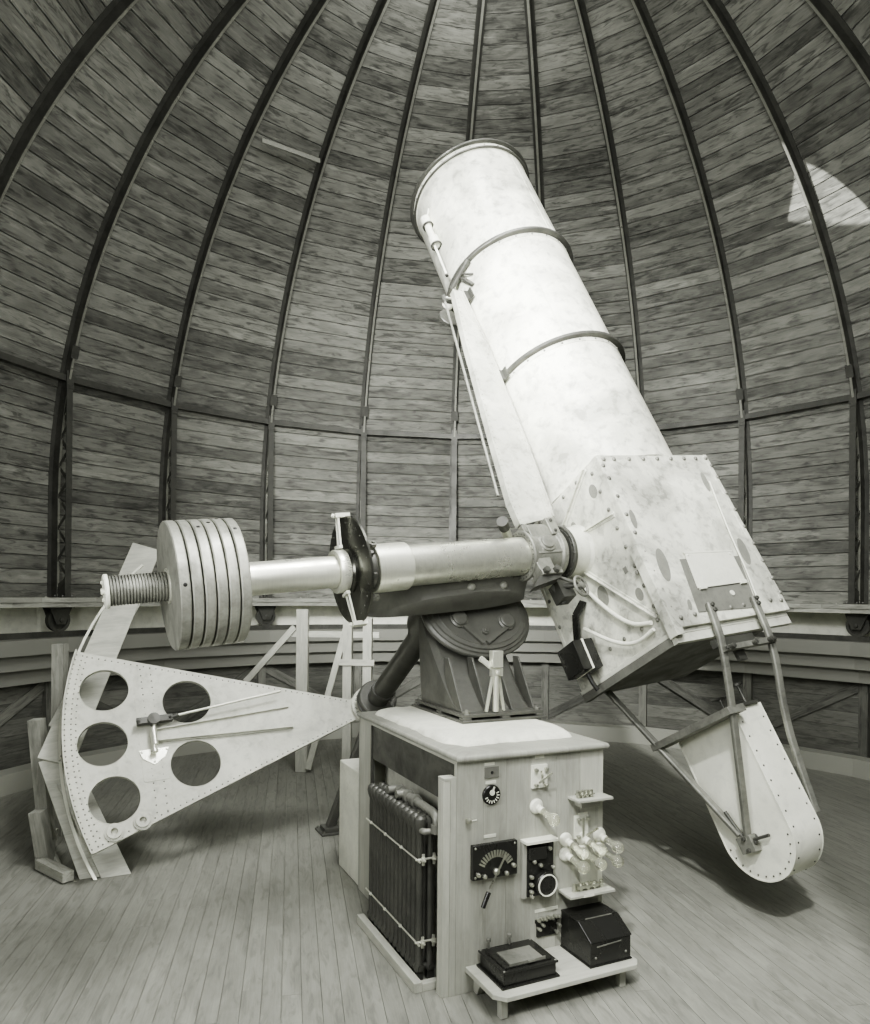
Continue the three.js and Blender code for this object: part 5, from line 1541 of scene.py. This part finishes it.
class OBSERVATORY_OT_pedestal(bpy.types.Operator):
    """Cast pedestal: base plates, ribbed column, stepped head with its bosses, and barrel"""

    bl_idname = "observatory.pedestal"
    bl_label = "Pedestal"

    def execute(self, context):
        base = BED_TOP
        plates = [box(-186, 351, -246, 446, base, base + 14),
            box(-170, 335, -230, 430, base + 26, base + 46)]
        plates += [box(x - 26, x + 26, y - 26, y + 26, base + 13, base + 27)
            for x, y in ((-150, -210), (90, -214), (315, -210), (-150, 80), (-150, 400), (315, 80),
            (315, 400), (90, 410))]
        depth = 330.0
        head_y, head_z = depth * math.cos(LATITUDE), CROSSING[2] - depth * math.sin(LATITUDE)
        front, back = np.array([-150.0, base + 45]), np.array([400.0, base + 45])
        top_front, top_back = np.array([head_y + 10, head_z - 160]), np.array([head_y + 120, head_z - 120])
        levels = np.linspace(0, 1, 14)
        ease = levels ** 0.8
        y0 = front[0] + (top_front[0] - front[0]) * ease
        y1 = back[0] + (top_back[0] - back[0]) * ease
        z = front[1] + (top_front[1] - front[1]) * levels
        x0, x1 = -152 - 30 * ease, 316
        corner = 34.0
        rings = np.stack([cols(x0 + corner, y0, z), cols(x1 - corner, y0, z), cols(x1, y0 + corner, z),
            cols(x1, y1 - corner, z), cols(x1 - corner, y1, z), cols(x0 + corner, y1, z),
            cols(x0, y1 - corner, z), cols(x0, y0 + corner, z)], axis=1)
        column = skin(rings)
        ribs = []
        for x in (-146, 4, 168, 310):
            side = [[-176, base + 45], [0, base + 45], [60, 1640], [4, 1640]]
            ribs.append(plate(side, 12, axes=UPRIGHT_Y, offset=(x - 6, 0, 0)))
        head = revolve([[10, -400], [250, -400], [284, -390], [300, -374], [305, -356], [300, -346],
            [286, -340], [282, -330], [266, -326], [262, -316], [240, -312], [236, -308], [10, -308]], 120)
        oval = np.array([1.2, 0.98, 1.0])
        barrel = on_polar(revolve([[81, -760], [132, -760], [140, -752], [140, -330], [81, -330]], 64))
        head["v"] = head["v"] * oval
        head = on_polar(moved(head, (140, -150, 0)))
        neck = on_polar(revolve([[100, -470], [190, -470], [240, -398], [240, -312], [100, -312]], 64))
        fan = []
        for a, b in (((-18, -236), (96, -376)), ((306, -262), (124, -376))):
            a, b = np.array([[*a, -308.0]]), np.array([[*b, -308.0]])
            fan.append(on_polar(bars(a, b, 24, 38)))
        bosses = [on_polar(turned([[0, -309], [58, -309], [58, -296], [48, -290], [48, -280], [40, -274],
            [18, -274], [0, -272]], 40, (x, y, 0))) for x, y in ((-18, -213), (300, -232))]
        bosses.append(on_polar(studs([134, -296, -306], Z, 24, 24, "nut")))
        add("pedestal_column", [*plates, column, *ribs], MOUNT, "casting", ["pedestal"], 28, 2.5)
        add("pedestal_head", [head, neck, barrel, *fan, *bosses], MOUNT, "casting", smooth=28)
        bright = [box(2, 68, -236, -200, 1556, 1600), box(-4, 60, -250, -206, 1606, 1696),
            bars([[14, -214, 1556], [52, -214, 1556]], [[-24, -212, 1362], [86, -212, 1362]], 18, 12, Y),
            rod([34, -222, 1556], [32, -218, 1362], 17),
            bars([20, -214, 1596], [-54, -190, 1656], 30, 16, Y)]
        nuts = studs([[x, y, base + 46] for x in (-140, 70, 305) for y in (-205, 405)], Z, 20, 22, "nut")
        nuts2 = studs([34, -236, 1578], -Y, 14, 12, "bolt")
        add("pole_clamp", [*bright, nuts2], MOUNT, "steel", smooth=30, bevel=2)
        add("pedestal_nuts", nuts, MOUNT, "rod_iron", smooth=30)
        return DONE


class OBSERVATORY_OT_lower_bearing(bpy.types.Operator):
    """Collar and splayed legs under the lower end of the polar shaft"""

    bl_idname = "observatory.lower_bearing"
    bl_label = "Lower bearing"

    def execute(self, context):
        down = 1818.0
        y, z = down * math.cos(LATITUDE), CROSSING[2] - down * math.sin(LATITUDE)
        collar = on_polar(revolve([[81, -1898], [140, -1898], [150, -1888], [150, -1870], [132, -1862],
            [132, -1844], [150, -1836], [150, -1818], [140, -1808], [81, -1808]], 64))
        legs = []
        for side in (-1, 1):
            legs += [sweep([[side * 330, y + 120, 240], [side * 64, y - 36, z - 96]],
                bar_profile(70, 50, 10), X), box(side * 330 - 90, side * 330 + 90, y + 20, y + 220, STAND,
                214), box(side * 330 - 60, side * 330 + 60, y + 50, y + 190, 214, 244)]
        legs.append(bars([-235, y + 78, 400], [235, y + 78, 400], 46, 30, Y))
        add("bearing_stand", [collar, *legs], MOUNT, "casting", ["lower_bearing_stand"], 30, 2)
        bolts = studs([[s * 330 + dx, y + dy, 214] for s in (-1, 1) for dx in (-72, 72)
            for dy in (40, 200)], Z, 13, 18, "nut")
        add("bearing_bolts", bolts, MOUNT, "rod_iron", smooth=35)
        return DONE


class OBSERVATORY_OT_guide_arc(bpy.types.Operator):
    """Timber arc behind the drive sector: two layers of planks, a metal strip and props"""

    bl_idname = "observatory.guide_arc"
    bl_label = "Guide arc"

    def execute(self, context):
        low = -2258.0
        layers = []
        for middle, inner, outer, start, end, rise in ((154, 1912, 2134, 128, 176, 25),
                (191, 2002, 2224, 176.5, 210, 0), (195.5, 1968, 2130, 181, 216, 25),
                (150, 1935, 2110, 132, 170, 0)):
            reach = outer * np.tan(np.radians([start - middle, end - middle]))
            flat = np.array([[inner, reach[0]], [inner, reach[1]], [outer, reach[1]], [outer, reach[0]]])
            layers.append(plate(flat @ turn_z(math.radians(middle))[:2, :2], 24, offset=(0, 0, low + rise)))
        timber = add("guide_planks", layers, GUIDE, "pale", ["guide_arc"], bevel=2)
        floor = [(Z * (FLOOR_TOP + 0.6), Z)]
        carve(timber, floor)
        angle = degrees(131, 213, 60)
        path = 2168 * rays(angle) + [0, 0, low + 56]
        rail = sweep(path, strip(5, 9), Z)
        carve(add("guide_rail", rail, GUIDE, "steel"), floor)
        tops, feet = [], []
        for a, shift in ((153, 0), (168, 60), (184, 40), (199, 20)):
            a = math.radians(a)
            at = CROSSING + np.array([2330 * math.cos(a), 2330 * math.sin(a), low - 50]) @ POLAR[1]
            tops.append(at)
            feet.append([at[0] + shift, at[1] + shift, FLOOR_TOP + 1])
        tops, feet = np.array(tops), np.array(feet)
        posts = bars(feet, tops, 84, 84, (0, 1, 0.2))
        leans = bars(feet[:-1] + [0, 60, 40], tops[1:] + [0, 60, -60], 60, 34, Y)
        sills = bars(feet[:-1] + [0, -70, 40], feet[1:] + [0, -70, 40], 70, 60)
        stand = [standing([-1550, -1462], (2200, 2288), (201, 1760)),
            standing([-1349, -1262], (2200, 2288), (201, 1760)),
            standing([-2038, -1920], (2260, 2320), (201, 1840)), box(-1580, -1230, 2176, 2199, 1290, 1350),
            box(-2100, -1200, 2290, 2330, 1560, 1620),
            bars([-2560, 2280, 1100], [-2060, 2280, 1660], 60, 40, Y),
            bars([-1500, 2240, 1750], [-1900, 2240, 240], 60, 40, Y)]
        add("back_stand", stand, BUILDING, "pale", bevel=2)
        props = add("guide_props", [posts, leans, sills], WORLD, "curb", bevel=2)
        carve(props, floor)
        return DONE


# Cabinet and its fittings; a panel point is x, height and distance out of the cabinet's front

PANEL = (MOUNT[0] - 787 * MOUNT[1][1], np.array(UPRIGHT_X) @ MOUNT[1], "building")


def standing(edges, y, z):
    """Boards side by side between edges on x, 0.6 mm apart."""
    edges = np.asarray(edges, float)
    return blocks(cols(edges[:-1] + 0.3, y[0], z[0]), cols(edges[1:] - 0.3, y[1], z[1]))


def turned_knob(x, y, out, radius, height):
    """A small turned terminal on the panel."""
    profile = [[0, 0], [radius * 0.6, 0], [radius * 0.5, height * 0.35], [radius, height * 0.45],
        [radius, height * 0.75], [radius * 0.7, height], [0, height]]
    return turned(profile, 16, (x, y, out))


def bulb(x, y, out, reach, drop):
    """A lamp bulb pointing out of the panel: its glass is a circle drawn out to a neck."""
    t = np.linspace(0, np.pi, 16)
    r = 29 * np.sin(t) * (1 - 0.22 * np.cos(t) ** 2 * (np.cos(t) > 0))
    h = reach - 31 + 31 * -np.cos(t)
    profile = np.concatenate([[[0, 42], [14, 42], [16, reach - 58]], cols(r, h)[5:]])
    profile[-1, 0] = 0
    way = np.array([0.25, -drop, 1.0])
    return moved(revolve(profile, 28), (x, y, out), normals_to_axes([way])[0])


def lamp_base(x, y, out, drop):
    """A lamp's porcelain rosette and collar."""
    way = np.array([0.25, -drop, 1.0])
    rose = revolve([[0, 0], [34, 0], [36, 6], [30, 16], [20, 20], [0, 20]], 32)
    collar = revolve([[0, 14], [17, 14], [17, 26], [14, 28], [17, 30], [17, 46], [0, 46]], 24)
    return merge(moved(rose, (x, y, out)), moved(collar, (x, y, out), normals_to_axes([way])[0]))


class OBSERVATORY_OT_cabinet(bpy.types.Operator):
    """Panelled cabinet round the pier: boards, corner post, hood, cap and plaster bed"""

    bl_idname = "observatory.cabinet"
    bl_label = "Cabinet"

    def execute(self, context):
        x0, x1, y0, y1, low, top = -490.0, 322.0, -787.0, 543.0, STAND, 1246.8
        front = standing([x0, -352, -232, -96, 45, 186, x1 - 28.2], (y0, y0 + 27), (low, top))
        side = moved(standing(np.linspace(-y1, -y0, 8), (x1 - 28, x1), (low, top)), (0, 0, 0),
            [[0, -1, 0], [1, 0, 0], [0, 0, 1]])
        back = standing(np.linspace(x0, x1 - 28.2, 6), (y1 - 28, y1), (low, top))
        post = box(x0, x0 + 128, y1 - 110, y1 - 28.4, low, top)
        rear = box(x0, x0 + 26, y0 + 1112.5, y1 - 110.4, low, top)
        corner = [box(x0 - 30, x0 - 0.4, y0, y0 + 60, low, 1180),
            box(x0 - 65, x0 - 31, y0 + 2, y0 + 58, low, 1166),
            box(x0 - 65, x0 - 30, y0 - 0.5, y0 + 59, 1166.5, 1180)]
        add("cabinet_boards", [front, side, back, post, rear, *corner], MOUNT, "cabinet", ["cabinet"],
            bevel=1.2)
        hood = [box(x0 + 2, x0 + 12, y0 + 27.4, y0 + 1095, 1040, 1232),
            box(x0 - 5, x0 + 14, y0 + 1096, y0 + 1112, low, 1232)]
        add("hood_board", hood, MOUNT, "dark_iron", bevel=1)
        cleat = box(x0, x0 + 14, y0 + 27.4, y0 + 1110, 1233, top)
        block = [box(x0 + 10, -60, y1 + 13, y1 + 417, low, 900)]
        add("rear_block", block, MOUNT, "plaster", bevel=9)
        add("hood_strip", cleat, MOUNT, "cabinet", bevel=1)
        a, b, c, d = x0 - 12, x1 + 14, y0 - 30, y1 + 10
        half = np.linspace(-np.pi / 2, np.pi / 2, 9)
        bull = cols(14 * np.cos(half), 15.2 * np.sin(half))
        rings = np.array([[[a - inset, c - inset, rise], [b + inset, c - inset, rise],
            [b + inset, d + inset, rise], [a - inset, d + inset, rise]]
            for inset, rise in np.concatenate([[[-60, -15.2]], bull - [14, 0], [[-60, 15.2]]])])
        rings[..., 2] += 1262.6
        add("cabinet_top", skin(rings), MOUNT, "cabinet", ["cabinet_cap"], 40)
        turn = turns(180)
        c4, s4 = np.cos(turn), np.sin(turn)
        corner_r = np.maximum(np.abs(c4), np.abs(s4)) ** -1
        reach = np.minimum(corner_r, 1.28)
        rough = (7 * np.sin(5 * turn + 1) + 6 * np.sin(11 * turn) + 4 * np.sin(23 * turn + 2)
            + 3 * np.sin(41 * turn))
        rings = []
        for size, z, wobble in ((1.0, 1278.4, 0.9), (0.985, 1290, 1.0), (0.955, 1302, 1.3),
                (0.9, 1308.5, 1.4), (0.6, 1310, 0.2)):
            rx = 373 * size * reach * c4 + wobble * rough * c4
            ry = 570 * size * reach * s4 + wobble * rough * s4
            x, y = np.clip(-59 + rx, -440, 322), np.clip(-57 + ry, -637, 523)
            rings.append(cols(x, y, z))
        add("plaster_bed", skin(np.array(rings)), MOUNT, "plaster", ["pier_slab"], 40)
        return DONE


class OBSERVATORY_OT_radiator(bpy.types.Operator):
    """Two columns of pipes with rounded heads, their links, tie rods and feed pipe"""

    bl_idname = "observatory.radiator"
    bl_label = "Radiator"

    def execute(self, context):
        tall = revolve([[0, 244], [19, 244], [25, 250], [26, 268], [18, 284], [18, 892], [26, 914],
            [30, 936], [27, 956], [15, 968], [0, 970]], 20)
        y = -600 + 53.0 * np.arange(13)
        at = np.array([[x, v, 0] for x in (-585, -530) for v in y])
        parts = [repeated(tall, at)]
        for x in (-585, -530):
            parts += [rod([x, -624, z], [x, 60, z], r, 20) for z, r in ((940, 17), (264, 16))]
        for v in y[::2]:
            parts += [rod([-585, v, 936], [-530, v, 936], 14), rod([-585, v, 264], [-530, v, 264], 14)]
        tray = [box(-652, -612, -700, 90, STAND, 246), box(-611.5, -492, -700, -664, STAND, 236)]
        add("radiator_tray", tray, MOUNT, "pale", bevel=2)
        feet = [box(x - 16, x + 16, v - 14, v + 14, STAND, 250) for x in (-585, -530) for v in (-600, 36)]
        add("radiator_pipes", [*parts, *feet], MOUNT, "dark_iron", ["radiator"], 32)
        feed = [pipe([[-530, -180, 985], [-530, -560, 985], [-530, -640, 985], [-530, -668, 960],
            [-530, -668, 900]], 21, 20), rod([-585, -300, 992], [-500, -300, 992], 20, 20),
            rod([-585, -180, 985], [-500, -180, 985], 22, 20),
            pipe([[-585, -620, 905], [-585, -640, 905], [-570, -650, 905], [-505, -650, 905]], 15, 16)]
        feed += [disc(31, -16, 16, 24, (-530, v, 985), 1) for v in (-230, -330, -420)]
        feed.append(disc(29, -20, 20, 24, (-530, -668, 920)))
        add("radiator_feed", feed, MOUNT, "rod_iron", smooth=35)
        ties = []
        for z in (775, 394):
            ties += [rod([-612, -640, z], [-612, 60, z], 4), rod([-620, -632, z], [-500, -632, z], 5),
                studs([[-612, v, z] for v in (-440, -230, -20)], -X, 9, 10, "nut"),
                studs([[x, -637, z] for x in (-585, -530)], -Y, 13, 16, "nut")]
            ties += [rod([x, -636, z], [x, -664, z], 5) for x in (-585, -530, -612)]
            ties.append(bars([[x, -640, z - 26] for x in (-585, -530)],
                [[x, -640, z + 26] for x in (-585, -530)], 12, 8, Y))
        add("radiator_ties", ties, MOUNT, "steel", smooth=35)
        return DONE


class OBSERVATORY_OT_fittings(bpy.types.Operator):
    """Switches, lamps, rheostat, meter and relays on the cabinet's front and its low shelf"""

    bl_idname = "observatory.fittings"
    bl_label = "Cabinet fittings"

    def execute(self, context):
        shelf = plate([[-440, -787.3], [-440, -1040], [-396, -1087], [290, -1087], [322, -1050],
            [322, -787.3]], 22, offset=(0, 0, 298))
        brackets = [plate([[0, 298], [0, 200.6], [-34, 200.6], [-60, 250], [-240, 270], [-240, 298]], 34,
            axes=UPRIGHT_Y, offset=(x - 17, -787.6, 0)) for x in (-380, 250)]
        legs = [box(x - 17, x + 17, -1037, -1003, 200.6, 297.6) for x in (-380, 250)]
        cleat = box(-330, 210, -812, -787.6, 272, 297.6)
        add("fitting_shelf", [shelf, *brackets, *legs, cleat], MOUNT, "cabinet", ["low_shelf"], bevel=3)
        small = [box(110, 311, 1019, 1031, 0, 96), box(150, 262, 985, 1018.6, 0, 60),
            box(58, 315, 578, 590, 0, 110), box(90, 280, 552, 577.6, 0, 50), box(-154, 17, 586, 846, 0, 24)]
        add("small_shelves", small, PANEL, "cabinet", bevel=1.5)
        base = 320.3
        left = [box(-390, -97, -1036, -800, base, base + 9),
            box(-376, -111, -1024, -812, base + 9.2, base + 62),
            box(-384, -103, -1032, -804, base + 62.4, base + 72),
            box(-362, -125, -1010, -826, base + 72.2, base + 78)]
        add("relay_case_left", left, MOUNT, "lacquer", ["relay_box_left"], bevel=2)
        body = [[-797.6, base], [-797.6, base + 168], [-930, base + 168], [-1030, base + 108],
            [-1030, base]]
        right = [plate(body, 226, axes=UPRIGHT_Y, offset=(72, 0, 0)),
            bars([185, -797.6, base + 172], [185, -932, base + 172], 232, 7),
            bars([185, -934, base + 171], [185, -1034, base + 111], 232, 7),
            box(66, 304, -1036, -798, base - 0.1, base + 7)]
        add("relay_case_right", right, MOUNT, "lacquer", ["relay_box_right"], bevel=2)
        slate = [box(-419, -187, 712, 868, 3, 28), box(-400, -206, 730, 850, 0, 3),
            rod([-357, 668, 66], [-392, 606, 74], 11, 20)]
        add("rheostat_slate", slate, PANEL, "lacquer", ["rheostat"], 35, 2)
        panel = [box(-134, 10, 594, 838, 24.2, 32), box(-130, -40, 770, 826, 32.2, 52),
            turned([[0, 0], [58, 0], [58, 26], [50, 34], [48, 30], [0, 30]], 48, (-42, 648, 32))]
        add("meter_panel", panel, PANEL, "lacquer", ["meter"], 35, 1.5)
        turn = degrees(28, 152, 14)
        way = rays(turn)
        pivot = np.array([-301, 740, 30.0])
        brass = [bars(pivot + 66 * way, pivot + 98 * way, 9, 5),
            turned([[0, 0], [16, 0], [16, 12], [10, 18], [0, 18]], 24, pivot - [0, 0, 2]),
            bars(pivot + [0, 0, 14], pivot + [42, 72, 14], 8, 5),
            bars(pivot + [0, 0, 14], [-350, 680, 62], 7, 5), turned_knob(-398, 742, 28, 11, 26),
            turned_knob(-366, 730, 28, 11, 26), turned_knob(-214, 760, 28, 11, 26),
            turned_knob(-250, 728, 28, 11, 22), turned_knob(-438, 984, 0, 12, 40),
            rod([-438, 984, 30], [-410, 990, 44], 5)]
        brass += [studs([x, y, 28], Z, 6, 4) for x, y in ((-406, 856), (-200, 856), (-406, 724))]
        brass += [turned_knob(x, y, 32, 10, 24)
            for x, y in ((-118, 690), (-118, 655), (-118, 622), (-116, 600), (-70, 740), (-104, 760),
            (2, 720), (-20, 812))]
        brass += [turned_knob(-68 + i * 19.0, 474 + 4 * (i % 2), 14, 8, 30) for i in range(7)]
        brass += [turned_knob(x, y, 8, 9, 30) for x, y in ((-60, 430), (40, 400), (52, 430), (-40, 446))]
        brass += [disc(10, 0, 34, 20, (x, 1031.2, 46), 1) for x in (140, 165, 190, 215)]
        brass += [disc(9, 0, 36, 20, (x, 590.2, 60), 1) for x in (110, 150, 190, 230, 270)]
        brass += [box(120, 250, 604, 618, 40, 76), box(132, 224, 1044, 1050, 30, 64)]
        brass += [turned_knob(x, y, 12, 9, 26)
            for x, y in ((-84, 1180), (-28, 1180), (-84, 1110), (-28, 1106), (160, 920), (214, 920),
            (160, 836), (214, 836))]
        brass += [bars([-72, 1120, 30], [-20, 1170, 60], 10, 5),
            bars([-44, 1116, 26], [-58, 1176, 26], 8, 5), bars([186, 836, 26], [188, 926, 26], 9, 5),
            bars([206, 838, 24], [246, 880, 66], 9, 7)]
        add("brass_fittings", brass, PANEL, "brass", smooth=35)
        white = [box(x - w / 2, x + w / 2, y - 7, y + 7, 0, 3)
            for x, y, w in ((-323, 1226, 52), (-316, 1141, 54), (-318, 895, 62), (-52, 1236, 50),
            (200, 936, 56), (-6, 506, 130))]
        white += [box(-98, -14, 1092, 1200, 0, 12), box(148, 226, 822, 932, 0, 12),
            box(-154, 20, 846.4, 858, 0, 60), box(130, 190, 578.5, 589, 110.2, 111.4),
            turned([[46, 34], [52, 34], [52, 38], [46, 38]], 48, (-42, 648, 30))]
        lamps = [(-70, 1005, 0.35)] + [(x, y, 0.3) for y in (823, 756) for x in (98, 198, 298)]
        white += [lamp_base(x, y, 0, d) for x, y, d in lamps]
        add("white_fittings", white, PANEL, "white", smooth=35)
        add("lamp_bulbs", [bulb(x, y, 0, 150, d) for x, y, d in lamps], PANEL, "glass", smooth=60)
        dark = [turned([[0, 0], [46, 0], [46, 8], [42, 12], [0, 12]], 48, (-314, 1084, 0)),
            box(-70, 72, 452, 466, 0, 12), box(-62, 50, 384, 450, 0, 8), studs([-313, 1187, 7], Z, 8, 5)]
        add("dial_plate", dark, PANEL, "lacquer", smooth=35)
        add("switch_plate", [box(-350, -276, 1162, 1212, 0, 7)], PANEL, "grey", bevel=1)
        turn = degrees(200, 380, 9)
        way = rays(turn)
        marks = [bars(np.array([-314, 1084, 12.5]) + 24 * way, np.array([-314, 1084, 12.5]) + 38 * way, 5,
            1.5), disc(13, 0, 3, 20, (-314, 1096, 12)), bars([-314, 1096, 13], [-302, 1122, 13], 8, 2)]
        add("dial_marks", marks, PANEL, "white", smooth=35)
        top = [box(-330, -160, -1000, -880, base + 78.2, base + 84),
            box(-336, -154, -1006, -1000.4, base + 78.2, base + 90),
            box(-250, -214, -1018, -1012, base + 84, base + 92)]
        screws = studs([[x, y, base + 72] for x in (-374, -113) for y in (-1022, -814)], Z, 6, 4)
        knobs = [turned([[0, 0], [5, 0], [5, 30], [11, 34], [11, 46], [0, 50]], 16, (x, -824, base + 78))
            for x in (-340, -230)]
        pins = studs([[x, -1031, base + 40] for x in (100, 270)], -Y, 6, 5)
        clasp = [bars([110, -936, base + 176], [262, -936, base + 176], 6, 4),
            bars([104, -1034, base + 90], [240, -1034, base + 96], 5, 4, -Y)]
        add("relay_trim", [*top, screws, *knobs, pins, *clasp], MOUNT, "rod_iron", smooth=35)
        return DONE


# Add-on

class ObservatorySizes(bpy.types.PropertyGroup):
    """Sizes a user would change"""

    lining_board: FloatProperty(name="Lining board", description="Height of a lining board", default=0.135,
        unit="LENGTH")
    board_gap: FloatProperty(name="Board gap", description="Gap between lining boards", default=0.008,
        unit="LENGTH")
    floor_board: FloatProperty(name="Floor board", description="Width of a floor plank", default=0.088,
        unit="LENGTH")


class ObservatoryColours(bpy.types.PropertyGroup):
    """Brightness of the main finishes"""

    lining: FloatProperty(name="Lining", description="Light tone of the lining boards", default=0.3,
        subtype="FACTOR")
    drum: FloatProperty(name="Drum", description="Light tone of the drum boards", default=0.26,
        subtype="FACTOR")
    floor: FloatProperty(name="Floor", description="Light tone of the planks", default=0.34,
        subtype="FACTOR")
    pale_timber: FloatProperty(name="Pale timber", description="Light tone of planed timber", default=0.62,
        subtype="FACTOR")
    cabinet: FloatProperty(name="Cabinet", description="Light tone of the cabinet", default=0.62,
        subtype="FACTOR")
    paint: FloatProperty(name="Paint", description="Paint of the tube", default=0.78, subtype="FACTOR")


CARRIED = {"skirt": "skirt", "curb_front": "curb", "curb_back": "curb", "track_ring": "dark_iron",
    "base_beam": "pale", "pier": "concrete", "shutter_track_front": "iron", "shutter_track_crown": "iron"}


class OBSERVATORY_OT_frame_finish(bpy.types.Operator):
    """Finishes on the CAD nodes that stay in view"""

    bl_idname = "observatory.frame_finish"
    bl_label = "Frame finishes"

    def execute(self, context):
        for name, finish in CARRIED.items():
            node = frame["nodes"][name]
            if not node.hide_render:
                for slot in node.material_slots:
                    slot.material = FINISH[finish][0]
        return DONE


def pose(x, y, z, at):
    """The matrix of an object with the given axes at a point."""
    return Matrix([*np.column_stack([x, y, z, at]).tolist(), [0, 0, 0, 1]])


def aimed_light(name, kind, at, aim, power, size, cone=0.0):
    """A light at a point turned towards another: an area light of a size, or a spot of a radius
    and a cone in degrees."""
    data = bpy.data.lights.new(name, kind)
    data.energy = power
    if kind == "AREA":
        data.shape = "RECTANGLE"
        data.size, data.size_y = size
    else:
        data.shadow_soft_size = size
        data.spot_size = math.radians(cone)
        data.spot_blend = 1.0 if size > 0.1 else 0.02
    light = bpy.data.objects.new(name, data)
    bpy.context.scene.collection.objects.link(light)
    z = unit(np.subtract(at, aim))
    x = unit(np.cross(Z, z))
    light.matrix_world = pose(x, np.cross(z, x), z, at)
    light.visible_camera = False


# Lights: name, kind, place and aim in m, power in W, size in m, and a spot's cone in degrees
LIGHTS = [("Slit daylight low", "AREA", (0.1, -3.8, 4.1), (0, 0, 2.2), 145, (1.4, 2.8)),
    ("Slit daylight high", "AREA", (0.1, -1.5, 6.55), (0, 0.6, 1.5), 195, (1.6, 3.2)),
    ("Behind the camera", "AREA", (-2.4, -3.8, 2.2), (0.2, 0, 1.9), 80, (1.2, 1.2)),
    ("Back wall", "SPOT", (-1.5, -3.9, 4.7), (0.1, 4.6, 3.1), 5200, 0.7, 58),
    ("Right wall", "SPOT", (-1.5, -3.9, 4.7), (4.3, 2.6, 3.2), 1100, 0.7, 50),
    ("Left floor", "SPOT", (0.4, -2.2, 6.6), (-2.4, -1.0, 0.2), 750, 0.6, 50),
    ("Crown", "AREA", (-0.2, 0.9, 6.7), (-0.5, 2.4, 6.9), 16, (0.8, 0.4)),
    ("Sun patch", "SPOT", (-3.43, -0.67, 9.16), (3.14, 2.14, 5.3), 16000, 0.01, 8.5)]


class OBSERVATORY_OT_stage(bpy.types.Operator):
    """Floor under the building, camera, daylight through the slit and soft studio light"""

    bl_idname = "observatory.stage"
    bl_label = "Stage"

    def execute(self, context):
        scene = context.scene
        ground = bpy.data.meshes.new("stage_floor")
        ground.from_pydata(60 * np.array([[-1, -1, 0], [1, -1, 0], [1, 1, 0], [-1, 1, 0]]), [],
            [(0, 1, 2, 3)])
        ground.materials.append(Finish("Stage floor").done(0.72, 0.9, 0.0, 0.2))
        floor = bpy.data.objects.new("stage_floor", ground)
        scene.collection.objects.link(floor)
        data = bpy.data.cameras.new("Camera")
        data.lens = CAMERA_LENS
        data.sensor_width = 36
        data.shift_y = CAMERA_SHIFT
        data.clip_start = CAMERA_NEAR
        data.clip_end = 200
        camera = bpy.data.objects.new("Camera", data)
        scene.collection.objects.link(camera)
        above = Z * math.cos(CAMERA_PITCH) - Y * math.sin(CAMERA_PITCH)
        right = X * math.cos(CAMERA_ROLL) + above * math.sin(CAMERA_ROLL)
        top = above * math.cos(CAMERA_ROLL) - X * math.sin(CAMERA_ROLL)
        camera.matrix_world = pose(right, top, np.cross(right, top), CAMERA_AT)
        scene.camera = camera
        scene.view_settings.look = "AgX - Medium High Contrast"
        world = bpy.data.worlds.new("World")
        scene.world = world
        world.use_nodes = True
        sky = world.node_tree.nodes["Background"].inputs
        sky["Color"].default_value = (0.9, 0.95, 0.92, 1)
        sky["Strength"].default_value = 0.26
        for light in LIGHTS:
            aimed_light(*light)
        sun = bpy.data.lights.new("Sun", "SUN")
        sun.energy = 2.4
        sun.angle = math.radians(2)
        lamp = bpy.data.objects.new("Sun", sun)
        lamp.rotation_euler = (math.radians(38), math.radians(-18), 0)
        scene.collection.objects.link(lamp)
        return DONE


class OBSERVATORY_PT_panel(bpy.types.Panel):
    """Lists the pieces of the observatory"""

    bl_idname = "OBSERVATORY_PT_panel"
    bl_label = "Observatory"
    bl_space_type = "VIEW_3D"
    bl_region_type = "UI"
    bl_category = "Observatory"

    def draw(self, context):
        for group in (context.scene.observatory_sizes, context.scene.observatory_colours):
            for name in group.__annotations__:
                self.layout.prop(group, name)
        for operator in OPERATORS:
            self.layout.operator(operator.bl_idname)


OPERATORS = [
    OBSERVATORY_OT_lining,
    OBSERVATORY_OT_ribs,
    OBSERVATORY_OT_sill,
    OBSERVATORY_OT_slit,
    OBSERVATORY_OT_floor,
    OBSERVATORY_OT_drum,
    OBSERVATORY_OT_tube,
    OBSERVATORY_OT_mirror_box,
    OBSERVATORY_OT_side_beam,
    OBSERVATORY_OT_plate_holder,
    OBSERVATORY_OT_declination,
    OBSERVATORY_OT_cradle,
    OBSERVATORY_OT_sector,
    OBSERVATORY_OT_polar_axis,
    OBSERVATORY_OT_pedestal,
    OBSERVATORY_OT_lower_bearing,
    OBSERVATORY_OT_guide_arc,
    OBSERVATORY_OT_cabinet,
    OBSERVATORY_OT_radiator,
    OBSERVATORY_OT_fittings,
    OBSERVATORY_OT_frame_finish,
    OBSERVATORY_OT_stage,
]
CLASSES = [ObservatorySizes, ObservatoryColours, *OPERATORS, OBSERVATORY_PT_panel]


def register():
    for item in CLASSES:
        bpy.utils.register_class(item)
    bpy.types.Scene.observatory_sizes = PointerProperty(type=ObservatorySizes)
    bpy.types.Scene.observatory_colours = PointerProperty(type=ObservatoryColours)


def unregister():
    del bpy.types.Scene.observatory_colours
    del bpy.types.Scene.observatory_sizes
    for item in reversed(CLASSES):
        bpy.utils.unregister_class(item)


def main():
    register()
    make_finishes()
    for operator in OPERATORS:
        name = operator.bl_idname.split(".")[1]
        getattr(bpy.ops.observatory, name)()


if __name__ == "__main__":
    main()
